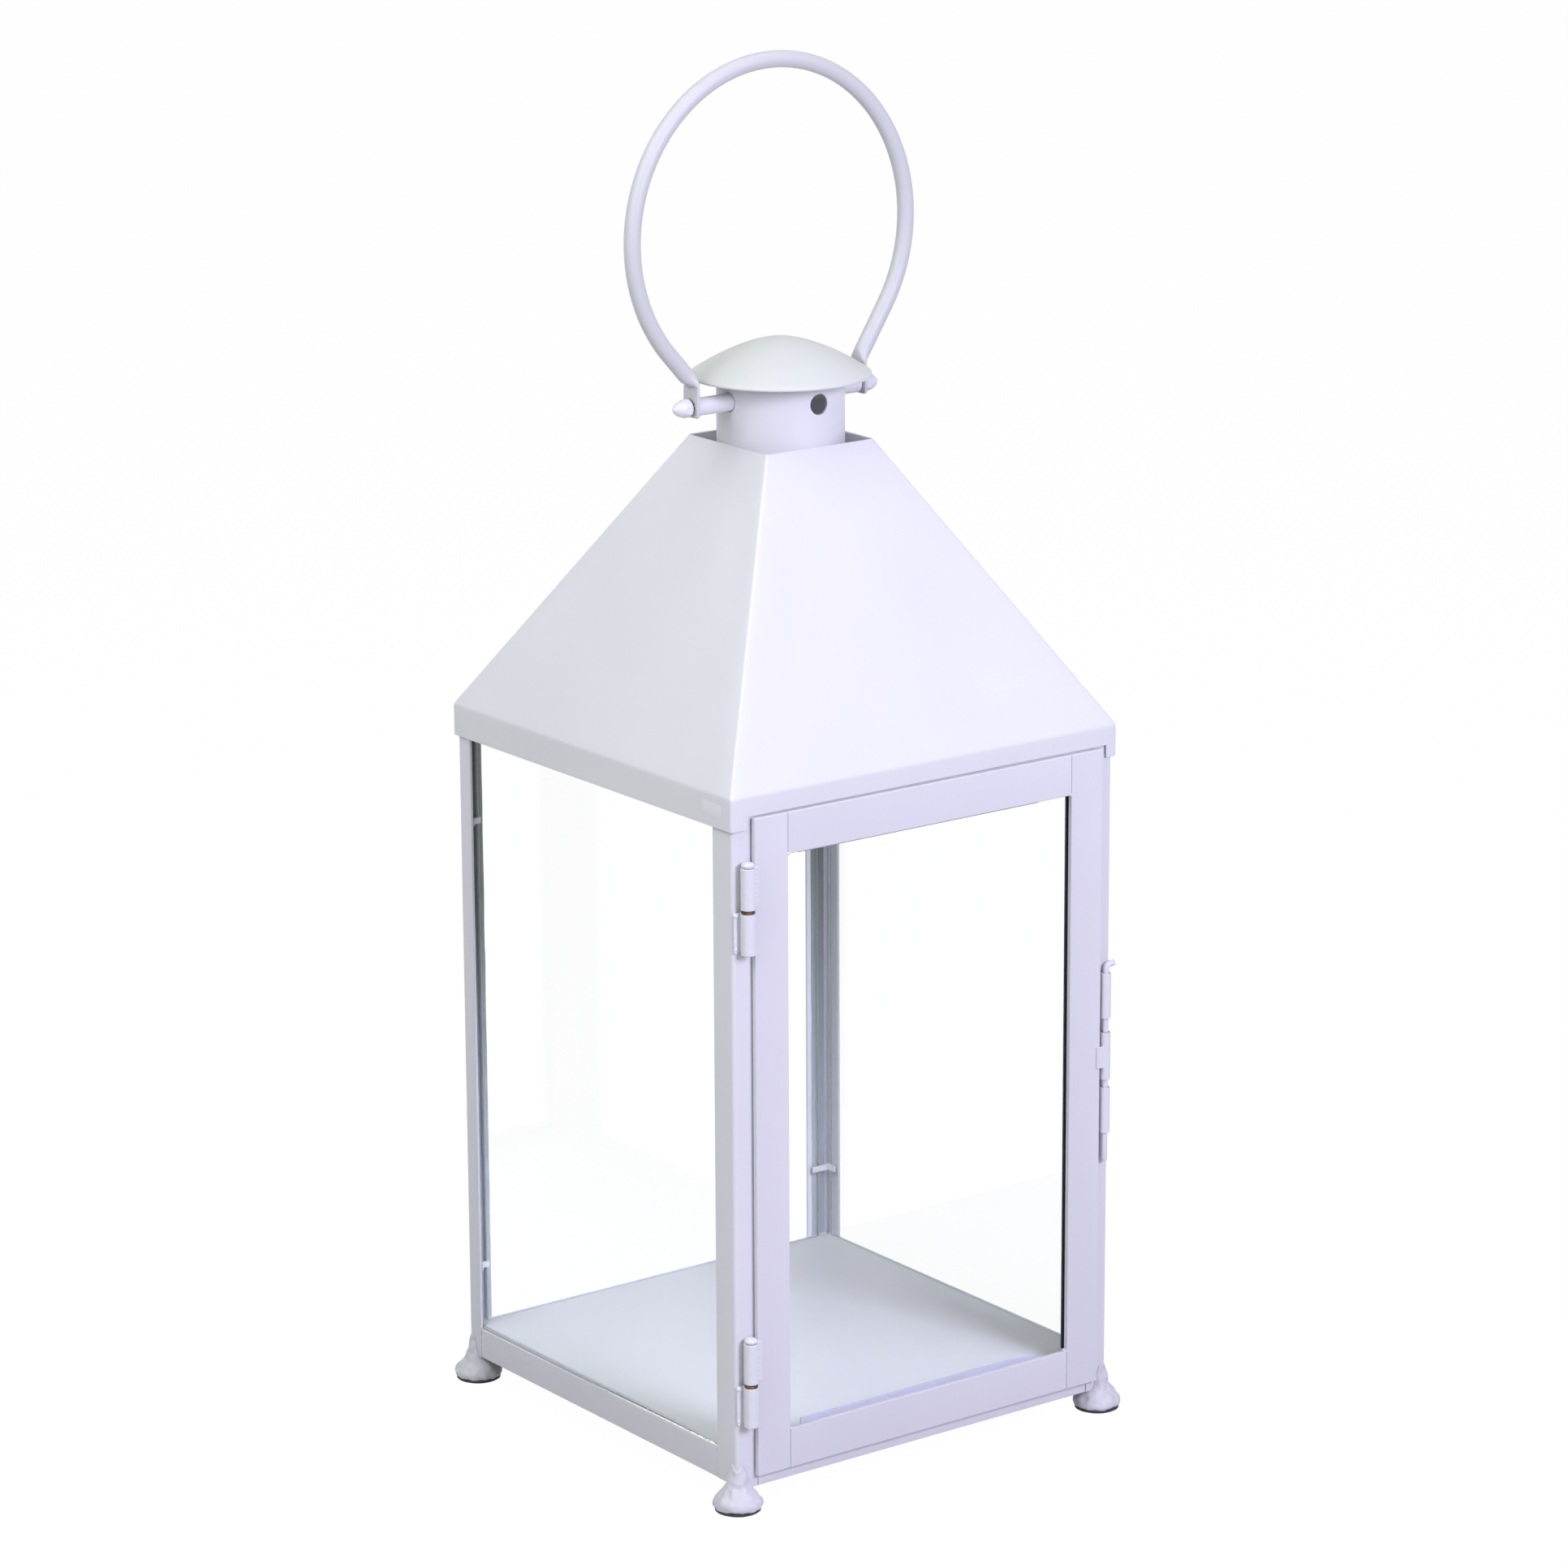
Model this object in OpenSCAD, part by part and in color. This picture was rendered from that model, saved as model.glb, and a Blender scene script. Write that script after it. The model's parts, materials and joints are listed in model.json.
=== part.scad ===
// Square candle lantern: four angle posts, a sheet roof with a chimney and cap,
// glass panes on three sides, a hinged glazed door at the front (-Y), a drop-pin
// latch and a swinging tube handle. The origin is on the ground, under the centre.

/* [Body] */
// Outer width across the corner posts
post_span = 280; // [270:1:290]
// Height of the top of the posts, just under the roof's bend
post_top = 432.5; // [425:0.5:432.5]
// Thickness of the posts and of the base rails
frame_wall = 1.5; // [1:0.1:1.8]
// Leg length of the front posts along the front
front_leg = 15.4; // [12:0.1:16]
// Leg length of the front posts along the sides
side_leg = 18.6; // [14:0.1:22]
// Leg length of the back posts along the sides
back_side_leg = 12.8; // [12:0.1:18]
// Leg length of the back left post along the back
back_left_leg = 14; // [13:0.1:20]
// Leg length of the back right post along the back
back_right_leg = 19.5; // [13:0.1:20]
// Radius of the bend at the outer corner of a post
post_bend = 2.5; // [2:0.1:3]
// Height of the lower end of the posts above the ground
post_bottom = 13; // [13:0.5:15]
// Height of the lower edge of the side and back rails above the ground
rail_bottom = 16; // [15.5:0.1:18]
// Height of a base rail
rail_height = 18.6; // [16:0.1:19]
// Top face of the floor plate above the ground
floor_top = 35.5; // [35.1:0.1:36]
// Width that the floor plate loses along its left edge towards the front
floor_taper = 2.8; // [0:0.1:3]

/* [Feet] */
// Largest radius of a foot
foot_radius = 14.7; // [12:0.1:16]
// Radius of a foot's neck
neck_radius = 6.9; // [6.4:0.1:7.4]
// Height of the foot's tip beside the post
foot_tip = 30; // [26:0.5:34]
// Thickness of the pad under a foot
pad_thickness = 2; // [1:0.1:3]

/* [Roof] */
// Outer width of the roof's skirt
roof_span = 283.8; // [283.4:0.1:286]
// Thickness of the roof sheet
roof_sheet = 0.9; // [0.7:0.1:1]
// Height of the skirt's lower edge
skirt_bottom = 412.4; // [408:0.1:414]
// Height of the bend between the skirt and the slopes
skirt_bend = 431.6; // [431:0.1:434]
// Height of the top edge of the slopes
roof_top = 600.6; // [600:0.1:601]
// Outer width of the square at the top of the roof
roof_mouth = 78.2; // [78:0.1:79]
// Height of the skirt's lower edge above the door
door_notch = 420; // [419.6:0.1:422]

/* [Chimney] */
// Outer radius of the chimney collar
collar_radius = 38; // [37:0.1:38]
// Wall of the chimney collar
collar_wall = 1.5; // [1:0.1:2]
// Radius of the two vent holes
vent_radius = 6.25; // [5:0.05:7]
// Height of the handle's pivot and of the vent holes
pivot_height = 625.6; // [624:0.1:627]
// Radius of the cap
cap_radius = 54; // [50:0.5:56]
// Height of the cap's rim
cap_rim = 637.5; // [637:0.1:639]
// Height of the cap's point
cap_top = 660.6; // [658:0.1:664]

/* [Handle] */
// Radius of the handle's ring at the middle of the tube
ring_radius = 99.4; // [98:0.1:101]
// Radius of the handle's tube
tube_radius = 5; // [4.5:0.1:5.5]
// Wall of the handle's tube
tube_wall = 1; // [0.8:0.1:1.5]
// Height of the ring's centre above the pivot
ring_rise = 98.9; // [98:0.1:101]
// Sideways offset of the ring's centre
ring_shift = -6.2; // [-7:0.1:-5]
// Sideways offset of the tie rod, its sleeve and the ears
rod_shift = -3.2; // [-3.3:0.1:-2.5]
// Half the distance between the inner faces of the ears
ear_reach = 60.1; // [60:0.1:61]

/* [Door] */
// Left edge of the door
door_left = -127; // [-127:0.1:-126]
// Right edge of the door
door_right = 129.5; // [128:0.1:129.5]
// Lower edge of the door
door_bottom = 20.3; // [19:0.1:22]
// Upper edge of the door
door_top = 418.8; // [416:0.1:419]
// Width of the door's stiles
stile_width = 23.6; // [22:0.1:25]
// Width of the door's rails
door_rail_width = 24.6; // [22:0.1:25]
// Thickness of the door's flat bar
bar_thickness = 3.2; // [3:0.1:3.4]
// Gap between the posts' front faces and the door's bar
door_gap = 1; // [0.9:0.1:1.2]
// Thickness of the glass
glass_thickness = 3; // [2:0.1:3]

/* [Hinges and latch] */
// Outer radius of a hinge knuckle
knuckle_radius = 4.25; // [4:0.05:4.4]
// Length of a hinge knuckle
knuckle_length = 24.6; // [22:0.1:26]
// Radius of a hinge pin
pin_radius = 2.5; // [2:0.1:2.8]
// Outer radius of a latch barrel
barrel_radius = 3.2; // [3.1:0.05:3.2]
// Radius of the latch's drop pin
drop_pin_radius = 1.95; // [1.8:0.05:2]

/* [Hidden] */
$fn = 64;

WHITE = "#e6e4ee";
SHADE_WHITE = "#dcdfe2";
RUBBER = "#22242a";
GLASS = "#cfe0dd";
BRASS = "#8a6a48";
STEEL = "#b9bcc4";

half = post_span / 2;
inner = half - frame_wall;
eps = 0.01;

// Floor and base rails
floor_sheet = 1.5;
floor_half = inner - 0.2;
taper_end = 20;
rail_gap = 0.5;
ledge_width = 13;
head_rail_levels = [402, 431];

// Feet
foot_axis = 136.3;
bell_bottom = 3.5;
bell_height = 14.5;
tip_radius = 4.1;
side_leg_lift = 2.8;

// Glass panes
pane_gap = 0.2;
pane_outer = inner - pane_gap;
pane_inner = pane_outer - glass_thickness;
pane_bottom = floor_top + 0.2;
pane_top = 425;
back_pane_half = 128;

// Glass clips
clip_height = 4;
clip_sheet = 1.1;
clip_outer = pane_inner - 0.3;
back_arms = [13, 8];
side_arms = [8, 5];
clip_levels = [[80, 360], [71, 356]];

// Roof and chimney
roof_half = roof_span / 2;
mouth_half = roof_mouth / 2;
slope = (roof_half - mouth_half) / (roof_top - skirt_bend);
sheet_inset = roof_sheet * sqrt(1 + slope * slope);
notch_left = -130.5;
notch_right = 134;
collar_bottom = 588;
collar_top = 647;
sleeve_radius = 5.3;
sleeve_hole = 5.9;
cap_sheet = 1.2;
cap_lip = 1.5;
cap_power = 1.65;

// Handle
rod_radius = 3;
rod_hole = 3.1;
ear_thickness = 2.4;
ear_width = 14.5;
ear_drop = 5.6;
ear_rise = 15;
ear_corner = 1.6;
crimp_length = 7;
washer_thickness = 1;
washer_radius = 5.9;
washer_teeth = 14;
nut_flats = 10;
nut_length = 5;
nut_point = 6.5;
nut_start = ear_reach + ear_thickness + washer_thickness;

// Door
door_back = -half - door_gap;
door_face = door_back - bar_thickness;
opening_left = door_left + stile_width;
opening_right = door_right - stile_width;
opening_bottom = door_bottom + door_rail_width;
opening_top = door_top - door_rail_width;
bar_joint = 0.15;
glass_lap = 2.3;
door_glass_back = door_back + 0.1 + glass_thickness;
seal_width = 2.2;
retainer_sheet = 1;
retainer_left = -92;
retainer_right = 85;
retainer_lip = 8;

// Hinges
hinge_x = -132.7;
hinge_y = -half - 5.2;
hinge_levels = [77.8, 364.3];
washer_height = 1.7;
axial_gap = 0.25;
leaf_sheet = 1.2;
door_bore = pin_radius + 0.05;

// Latch
latch_x = 134.3;
latch_y = -half - barrel_radius;
latch_bore = 2.3;
guide_levels = [[178.9, 207.6], [251, 279.3]];
keeper_levels = [212.7, 242.3];
keeper_leaf = [220.7, 234];
keeper_leaf_left = 126.2;
drop_pin_bottom = 161;
pin_head_gap = 0.3;
head_bend = 3;
head_arm = 3.2;

function foot_profile(t) = neck_radius + (foot_radius - neck_radius) * (1 + cos(180 * t)) / 2;
function cap_height(r) = cap_rim + cap_lip
    + (cap_top - cap_rim - cap_lip) * (1 - pow(r / cap_radius, cap_power));

module white(shade = WHITE) { color(shade) children(); }

// Puts a part made for the front left corner at another corner
module corner(x_side, y_side) {
    mirror([x_side > 0 ? 1 : 0, 0, 0])
        mirror([0, y_side > 0 ? 1 : 0, 0])
            children();
}

module box(x, y, z) {
    translate([x[0], y[0], z[0]])
        cube([x[1] - x[0], y[1] - y[0], z[1] - z[0]]);
}

// ---- Base ----

module floor_plate() {
    white(SHADE_WHITE)
        translate([0, 0, floor_top - floor_sheet])
            linear_extrude(floor_sheet)
                polygon([
                    [-floor_half + floor_taper, -floor_half],
                    [floor_half, -floor_half],
                    [floor_half, floor_half],
                    [-floor_half, floor_half],
                    [-floor_half, taper_end]
                ]);
}

module side_rail(x_side) {
    white()
        mirror([x_side > 0 ? 1 : 0, 0, 0])
            box([-half, -inner],
                [-half + side_leg + rail_gap, half - back_side_leg - rail_gap],
                [rail_bottom, rail_bottom + rail_height]);
}

// Angle rail whose inward leg carries the floor plate
module angle_rail(x, y_side, bottom) {
    white()
        mirror([0, y_side > 0 ? 1 : 0, 0])
            union() {
                box(x, [-half, -inner], [bottom, rail_bottom + rail_height]);
                box(x, [-inner - eps, -inner + ledge_width],
                    [floor_top - floor_sheet - frame_wall, floor_top - floor_sheet]);
            }
}

module base_rail_left() { side_rail(-1); }
module base_rail_right() { side_rail(1); }
module base_rail_back() {
    angle_rail([-half + back_left_leg + rail_gap, half - back_right_leg - rail_gap], 1, rail_bottom);
}
module base_rail_front() {
    front_end = half - front_leg - rail_gap;
    angle_rail([-front_end, front_end], -1, post_bottom);
}

// Flat bar between the front posts, behind the top of the door
module head_rail_front() {
    reach = half - front_leg - bar_joint;
    white() box([-reach, reach], [-half, -inner], head_rail_levels);
}

// ---- Posts and feet ----

// Angle section with a bent outer corner at the origin and its legs along +X and +Y
module angle_section(leg_x, leg_y) {
    difference() {
        union() {
            translate([post_bend, post_bend]) circle(post_bend);
            translate([post_bend, 0]) square([leg_x - post_bend, leg_y]);
            translate([0, post_bend]) square([leg_x, leg_y - post_bend]);
        }
        translate([frame_wall, frame_wall]) square([leg_x, leg_y]);
    }
}

module post(leg_x, leg_y) {
    white()
        difference() {
            translate([-half, -half, post_bottom])
                linear_extrude(post_top - post_bottom)
                    angle_section(leg_x, leg_y);
            box([-half - 1, -half + leg_x], [-inner, -half + leg_y + 1],
                [post_bottom - 1, post_bottom + side_leg_lift]);
        }
}

module post_front_left() { corner(-1, -1) post(front_leg, side_leg); }
module post_front_right() { corner(1, -1) post(front_leg, side_leg); }
module post_back_left() { corner(-1, 1) post(back_left_leg, back_side_leg); }
module post_back_right() { corner(1, 1) post(back_right_leg, back_side_leg); }

// Bell-shaped foot whose tip climbs the outer corner of the post
module foot() {
    steps = 10;
    white()
        difference() {
            translate([-foot_axis, -foot_axis, 0])
                rotate_extrude()
                    polygon(concat(
                        [[0, pad_thickness], [foot_radius - 0.8, pad_thickness]],
                        [for (i = [0:steps]) [foot_profile(i / steps), bell_bottom + bell_height * i / steps]],
                        [[tip_radius, foot_tip - 1.5], [tip_radius - 1.5, foot_tip], [0, foot_tip]]
                    ));
            box([-half, 0], [-half, 0], [post_bottom + side_leg_lift, foot_tip + 1]);
            box([-half, 0], [-half, -inner], [post_bottom, foot_tip + 1]);
        }
}

module foot_front_left() { corner(-1, -1) foot(); }
module foot_front_right() { corner(1, -1) foot(); }
module foot_back_left() { corner(-1, 1) foot(); }
module foot_back_right() { corner(1, 1) foot(); }

module pad() {
    color(RUBBER)
        translate([-foot_axis, -foot_axis, 0])
            cylinder(r = foot_radius - 0.8, h = pad_thickness);
}

module pad_front_left() { corner(-1, -1) pad(); }
module pad_front_right() { corner(1, -1) pad(); }
module pad_back_left() { corner(-1, 1) pad(); }
module pad_back_right() { corner(1, 1) pad(); }

// ---- Roof ----

// Side view of the roof, moved inwards by inset and opened past both ends by over
module roof_outline(inset, slope_inset, over) {
    bend = skirt_bend - (slope_inset - inset) / slope;
    top = roof_top + over;
    top_half = mouth_half - slope_inset - over * slope;
    polygon([
        [-roof_half + inset, skirt_bottom - over], [roof_half - inset, skirt_bottom - over],
        [roof_half - inset, bend], [top_half, top], [-top_half, top], [-roof_half + inset, bend]
    ]);
}

module roof_solid(inset, slope_inset, over) {
    length = roof_span + 10;
    intersection() {
        rotate([90, 0, 0])
            translate([0, 0, -length / 2])
                linear_extrude(length) roof_outline(inset, slope_inset, over);
        rotate([90, 0, 90])
            translate([0, 0, -length / 2])
                linear_extrude(length) roof_outline(inset, slope_inset, over);
    }
}

module roof_shell() {
    white()
        difference() {
            roof_solid(0, 0, 0);
            roof_solid(roof_sheet, sheet_inset, 2);
            box([notch_left, notch_right], [-roof_half - 1, -half + 1], [skirt_bottom - 1, door_notch]);
        }
}

module chimney_collar() {
    white()
        difference() {
            translate([0, 0, collar_bottom]) cylinder(r = collar_radius, h = collar_top - collar_bottom);
            translate([0, 0, collar_bottom - 1])
                cylinder(r = collar_radius - collar_wall, h = collar_top - collar_bottom + 2);
            translate([0, 0, pivot_height])
                rotate([0, 90, 0]) cylinder(r = sleeve_hole, h = 4 * collar_radius, center = true);
            translate([0, 0, pivot_height])
                rotate([90, 0, 0]) cylinder(r = vent_radius, h = 4 * collar_radius, center = true);
        }
}

module chimney_cap() {
    steps = 14;
    under_radius = cap_radius - cap_sheet;
    white(SHADE_WHITE)
        rotate_extrude($fn = 96)
            polygon(concat(
                [for (i = [0:steps]) [cap_radius * i / steps, cap_height(cap_radius * i / steps)]],
                [[cap_radius, cap_rim], [under_radius, cap_rim]],
                [for (i = [steps:-1:0])
                    [under_radius * i / steps, cap_height(under_radius * i / steps) - cap_sheet]]
            ));
}

module crossbar_sleeve() {
    length = 2 * (ear_reach - axial_gap);
    white()
        translate([rod_shift, 0, pivot_height])
            rotate([0, 90, 0])
                difference() {
                    cylinder(r = sleeve_radius, h = length, center = true);
                    cylinder(r = rod_hole, h = length + 2, center = true);
                }
}

// ---- Fixed glass ----

module side_pane(x_side) {
    color(GLASS)
        mirror([x_side > 0 ? 1 : 0, 0, 0])
            box([-pane_outer, -pane_inner], [-pane_outer, pane_inner - 1], [pane_bottom, pane_top]);
}

module glass_left() { side_pane(-1); }
module glass_right() { side_pane(1); }
module glass_back() {
    color(GLASS)
        box([-back_pane_half, back_pane_half], [pane_inner, pane_outer], [pane_bottom, pane_top]);
}

// Bent strap on a back post: a stem from the post and one arm over each pane
module back_clip(z, back_arm, side_arm) {
    stem = back_pane_half + 1.6;
    levels = [z, z + clip_height];
    box([clip_outer - back_arm, clip_outer], [clip_outer - clip_sheet, clip_outer], levels);
    box([clip_outer - clip_sheet, clip_outer], [clip_outer - side_arm, clip_outer], levels);
    box([stem, stem + clip_sheet], [clip_outer - eps, inner], levels);
}

module front_clip(z) {
    box([clip_outer - clip_sheet, clip_outer], [-inner, -inner + 11], [z, z + clip_height]);
}

module glass_clips_back() {
    white()
        for (side = [0, 1], z = clip_levels[side])
            mirror([side, 0, 0]) back_clip(z, back_arms[side], side_arms[side]);
}

module glass_clips_front() {
    white()
        for (side = [0, 1], z = clip_levels[side])
            mirror([side, 0, 0]) front_clip(z);
}

// ---- Hinges ----

module knuckle(z) {
    translate([hinge_x, hinge_y, z])
        cylinder(r = knuckle_radius, h = knuckle_length);
}

module pin_hole(radius) {
    translate([hinge_x, hinge_y, -1])
        cylinder(r = radius, h = post_top);
}

module hinge_post_knuckle(z) {
    bottom = z - knuckle_length;
    white()
        difference() {
            union() {
                knuckle(bottom);
                box([-half + 0.3, hinge_x], [-half - leaf_sheet, -half], [bottom + 1.5, z]);
            }
            pin_hole(pin_radius);
        }
}

module hinge_door_knuckle(z) {
    bottom = z + washer_height + 2 * axial_gap;
    white()
        difference() {
            union() {
                knuckle(bottom);
                box([hinge_x, door_left], [door_face, door_face + leaf_sheet], [bottom, bottom + knuckle_length]);
                box([door_left - eps, door_left + 3], [door_face - 0.5, door_face],
                    [bottom, bottom + knuckle_length]);
            }
            pin_hole(door_bore);
        }
}

// Pin fixed in the post's knuckle, with a mushroom head above the door's knuckle
module hinge_pin(z) {
    head = z + washer_height + 3 * axial_gap + knuckle_length;
    white()
        translate([hinge_x, hinge_y, 0])
            rotate_extrude()
                polygon([
                    [0, z - knuckle_length + 1], [pin_radius, z - knuckle_length + 1],
                    [pin_radius, head], [3.2, head], [3.9, head + 0.7], [4, head + 1.5],
                    [3.5, head + 2.4], [2.2, head + 3.1], [0, head + 3.4]
                ]);
}

module hinge_post_knuckle_upper() { hinge_post_knuckle(hinge_levels[1]); }
module hinge_post_knuckle_lower() { hinge_post_knuckle(hinge_levels[0]); }
module hinge_door_knuckle_upper() { hinge_door_knuckle(hinge_levels[1]); }
module hinge_door_knuckle_lower() { hinge_door_knuckle(hinge_levels[0]); }
module hinge_pin_upper() { hinge_pin(hinge_levels[1]); }
module hinge_pin_lower() { hinge_pin(hinge_levels[0]); }

module hinge_washers() {
    color(BRASS)
        for (z = hinge_levels)
            translate([hinge_x, hinge_y, z])
                difference() {
                    cylinder(r = knuckle_radius - 0.2, h = washer_height);
                    translate([0, 0, -1]) cylinder(r = pin_radius + 0.1, h = washer_height + 2);
                }
}

// ---- Door ----

module door_bar(x, z) {
    white() box(x, [door_face, door_back], z);
}

module door_stile_hinge() { door_bar([door_left, opening_left], [door_bottom, door_top]); }
module door_stile_latch() { door_bar([opening_right, door_right], [door_bottom, door_top]); }
module door_rail_top() {
    door_bar([opening_left + bar_joint, opening_right - bar_joint], [opening_top, door_top]);
}
module door_rail_bottom() {
    door_bar([opening_left + bar_joint, opening_right - bar_joint], [door_bottom, opening_bottom]);
}

module door_glass() {
    color(GLASS)
        box([opening_left - glass_lap, opening_right + glass_lap],
            [door_back + 0.1, door_glass_back],
            [opening_bottom - glass_lap, opening_top + glass_lap]);
}

// Dark rubber strip round the edge of the door's glass
module door_glass_seal() {
    lap = glass_lap + 0.1;
    x = [opening_left - lap, opening_right + lap];
    z = [opening_bottom - lap, opening_top + lap];
    y = [door_back, door_glass_back];
    color(RUBBER) {
        box([x[0] - seal_width, x[0]], y, z);
        box([x[1], x[1] + seal_width], y, z);
        box([x[0] - seal_width, x[1] + seal_width], y, [z[0] - seal_width, z[0]]);
        box([x[0] - seal_width, x[1] + seal_width], y, [z[1], z[1] + seal_width]);
    }
}

// Angle strip that holds one edge of the glass: seat is its outer level, side its direction
module retainer(seat, side) {
    lip_front = door_glass_back + 0.2;
    x = [retainer_left, retainer_right];
    seat_z = side > 0 ? [seat, seat + retainer_sheet] : [seat - retainer_sheet, seat];
    lip_z = side > 0 ? [seat, seat + retainer_lip] : [seat - retainer_lip, seat];
    white()
        union() {
            box(x, [door_back, lip_front + retainer_sheet], seat_z);
            box(x, [lip_front, lip_front + retainer_sheet], lip_z);
        }
}

retainer_clear = glass_lap + seal_width + 0.3 + retainer_sheet;
module door_retainer_bottom() { retainer(opening_bottom - retainer_clear, 1); }
module door_retainer_top() { retainer(opening_top + retainer_clear, -1); }

// ---- Latch ----

module latch_guides() {
    white()
        for (level = guide_levels)
            difference() {
                translate([latch_x, latch_y, level[0]])
                    cylinder(r = barrel_radius, h = level[1] - level[0]);
                translate([latch_x, latch_y, level[0] - 1])
                    cylinder(r = latch_bore, h = level[1] - level[0] + 2);
            }
}

// Barrel on the door. Its hidden back is slotted so that it can leave the pin
module latch_keeper() {
    bottom = keeper_levels[0];
    height = keeper_levels[1] - bottom;
    white()
        difference() {
            union() {
                translate([latch_x, latch_y, bottom]) cylinder(r = barrel_radius, h = height);
                box([keeper_leaf_left, latch_x], [door_face - leaf_sheet, door_face], keeper_leaf);
            }
            translate([latch_x, latch_y, bottom - 1]) cylinder(r = latch_bore, h = height + 2);
            box([latch_x - latch_bore, latch_x + latch_bore], [latch_y, -half + 1],
                [bottom - 1, bottom + height + 1]);
        }
}

// Drop pin with its top bent over into a short finger grip
module latch_pin() {
    bend_height = guide_levels[1][1] + drop_pin_radius + pin_head_gap;
    white() {
        translate([latch_x, latch_y, drop_pin_bottom])
            cylinder(r = drop_pin_radius, h = bend_height - drop_pin_bottom);
        translate([latch_x + head_bend, latch_y, bend_height])
            rotate([90, 0, 180])
                rotate_extrude(angle = 90)
                    translate([head_bend, 0]) circle(drop_pin_radius);
        translate([latch_x + head_bend - eps, latch_y, bend_height + head_bend])
            rotate([0, 90, 0]) cylinder(r = drop_pin_radius, h = head_arm);
    }
}

// ---- Handle ----

ring_centre = [ring_shift, 0, pivot_height + ring_rise];
ear_middle = ear_reach + ear_thickness / 2;
knee_height = pivot_height + ear_rise;

// Line from the ring's centre to the top of an ear, seen from the front
function knee_offset(side) = [rod_shift + side * ear_middle - ring_shift, ear_rise - ring_rise];

// Length of the straight tube between the ring's arc and the top of an ear
function straight_length(side) = sqrt(pow(norm(knee_offset(side)), 2) - pow(ring_radius, 2));

// Angle at which the arc ends and the straight tube leaves it
function ring_end(side) =
    let (offset = knee_offset(side), turn = acos(ring_radius / norm(offset)))
    side < 0 ? 360 + atan2(offset[1], offset[0]) - turn : atan2(offset[1], offset[0]) + turn;

module ear_outline() {
    width = ear_width;
    difference() {
        union() {
            translate([-width / 2, -ear_drop + ear_corner])
                square([width, ear_rise + ear_drop - ear_corner]);
            translate([-width / 2 + ear_corner, -ear_drop]) square([width - 2 * ear_corner, ear_drop]);
            for (s = [-1, 1])
                translate([s * (width / 2 - ear_corner), -ear_drop + ear_corner]) circle(ear_corner);
        }
        circle(rod_hole);
    }
}

// Places a part made along +Z at an end of the arc, pointing along the straight tube
module at_ring_end(side) {
    translate(ring_centre)
        rotate([90, 0, 0])
            rotate([0, 0, ring_end(side)])
                translate([ring_radius, 0, 0])
                    rotate([90 * side, 0, 0]) children();
}

// Flattened end of the tube: a drilled ear and the short crimp above it
module handle_ear(side) {
    x = rod_shift + (side < 0 ? -ear_reach - ear_thickness : ear_reach);
    translate([x, 0, pivot_height])
        rotate([90, 0, 90])
            linear_extrude(ear_thickness) ear_outline();
    hull() {
        at_ring_end(side)
            translate([0, 0, straight_length(side) - crimp_length])
                cylinder(r = tube_radius, h = 0.3, $fn = 32);
        translate([x, -ear_width / 2, knee_height - 0.6])
            cube([ear_thickness, ear_width, 0.6]);
    }
}

module handle_ears() {
    white() {
        handle_ear(-1);
        handle_ear(1);
    }
}

// An arc of tube and its two straight ends
module handle_ring() {
    $fn = 56;
    start = ring_end(1);
    white() {
        translate(ring_centre)
            rotate([90, 0, 0])
                rotate([0, 0, start])
                    rotate_extrude(angle = ring_end(-1) - start)
                        translate([ring_radius, 0])
                            difference() {
                                circle(tube_radius);
                                circle(tube_radius - tube_wall);
                            }
        for (side = [-1, 1])
            at_ring_end(side)
                translate([0, 0, 2 * eps])
                    difference() {
                        cylinder(r = tube_radius, h = straight_length(side) - crimp_length - 2 * eps);
                        translate([0, 0, -1]) cylinder(r = tube_radius - tube_wall, h = 40);
                    }
    }
}

module handle_tie_rod() {
    length = 2 * (nut_start + nut_length + 1.5);
    color(STEEL)
        translate([rod_shift, 0, pivot_height])
            rotate([0, 90, 0]) cylinder(r = rod_radius, h = length, center = true);
}

// Turns a part made along +X at the right ear round to both ears
module both_ears() {
    for (turn = [0, 180])
        translate([rod_shift, 0, pivot_height])
            rotate([0, 0, turn]) children();
}

module lock_washers() {
    color(STEEL)
        both_ears()
            translate([nut_start - washer_thickness, 0, 0])
                rotate([90, 0, 90])
                    linear_extrude(washer_thickness)
                        difference() {
                            circle(washer_radius);
                            circle(rod_hole);
                            for (i = [0:washer_teeth - 1])
                                rotate(i * 360 / washer_teeth)
                                    translate([washer_radius - 1.3, -0.4]) square([2, 0.8]);
                        }
}

module acorn_nuts() {
    dome_radius = nut_flats / 2 - 0.6;
    white()
        both_ears()
            translate([nut_start, 0, 0])
                rotate([0, 90, 0])
                    difference() {
                        union() {
                            cylinder(d = nut_flats / cos(30), h = nut_length, $fn = 6);
                            translate([0, 0, nut_length - eps])
                                rotate_extrude()
                                    polygon([
                                        [0, 0], [dome_radius, 0], [dome_radius - 0.5, nut_point * 0.4],
                                        [dome_radius - 1.6, nut_point * 0.7], [1.2, nut_point * 0.93],
                                        [0, nut_point]
                                    ]);
                        }
                        translate([0, 0, -1]) cylinder(r = rod_radius, h = nut_length + 3);
                    }
}

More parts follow.
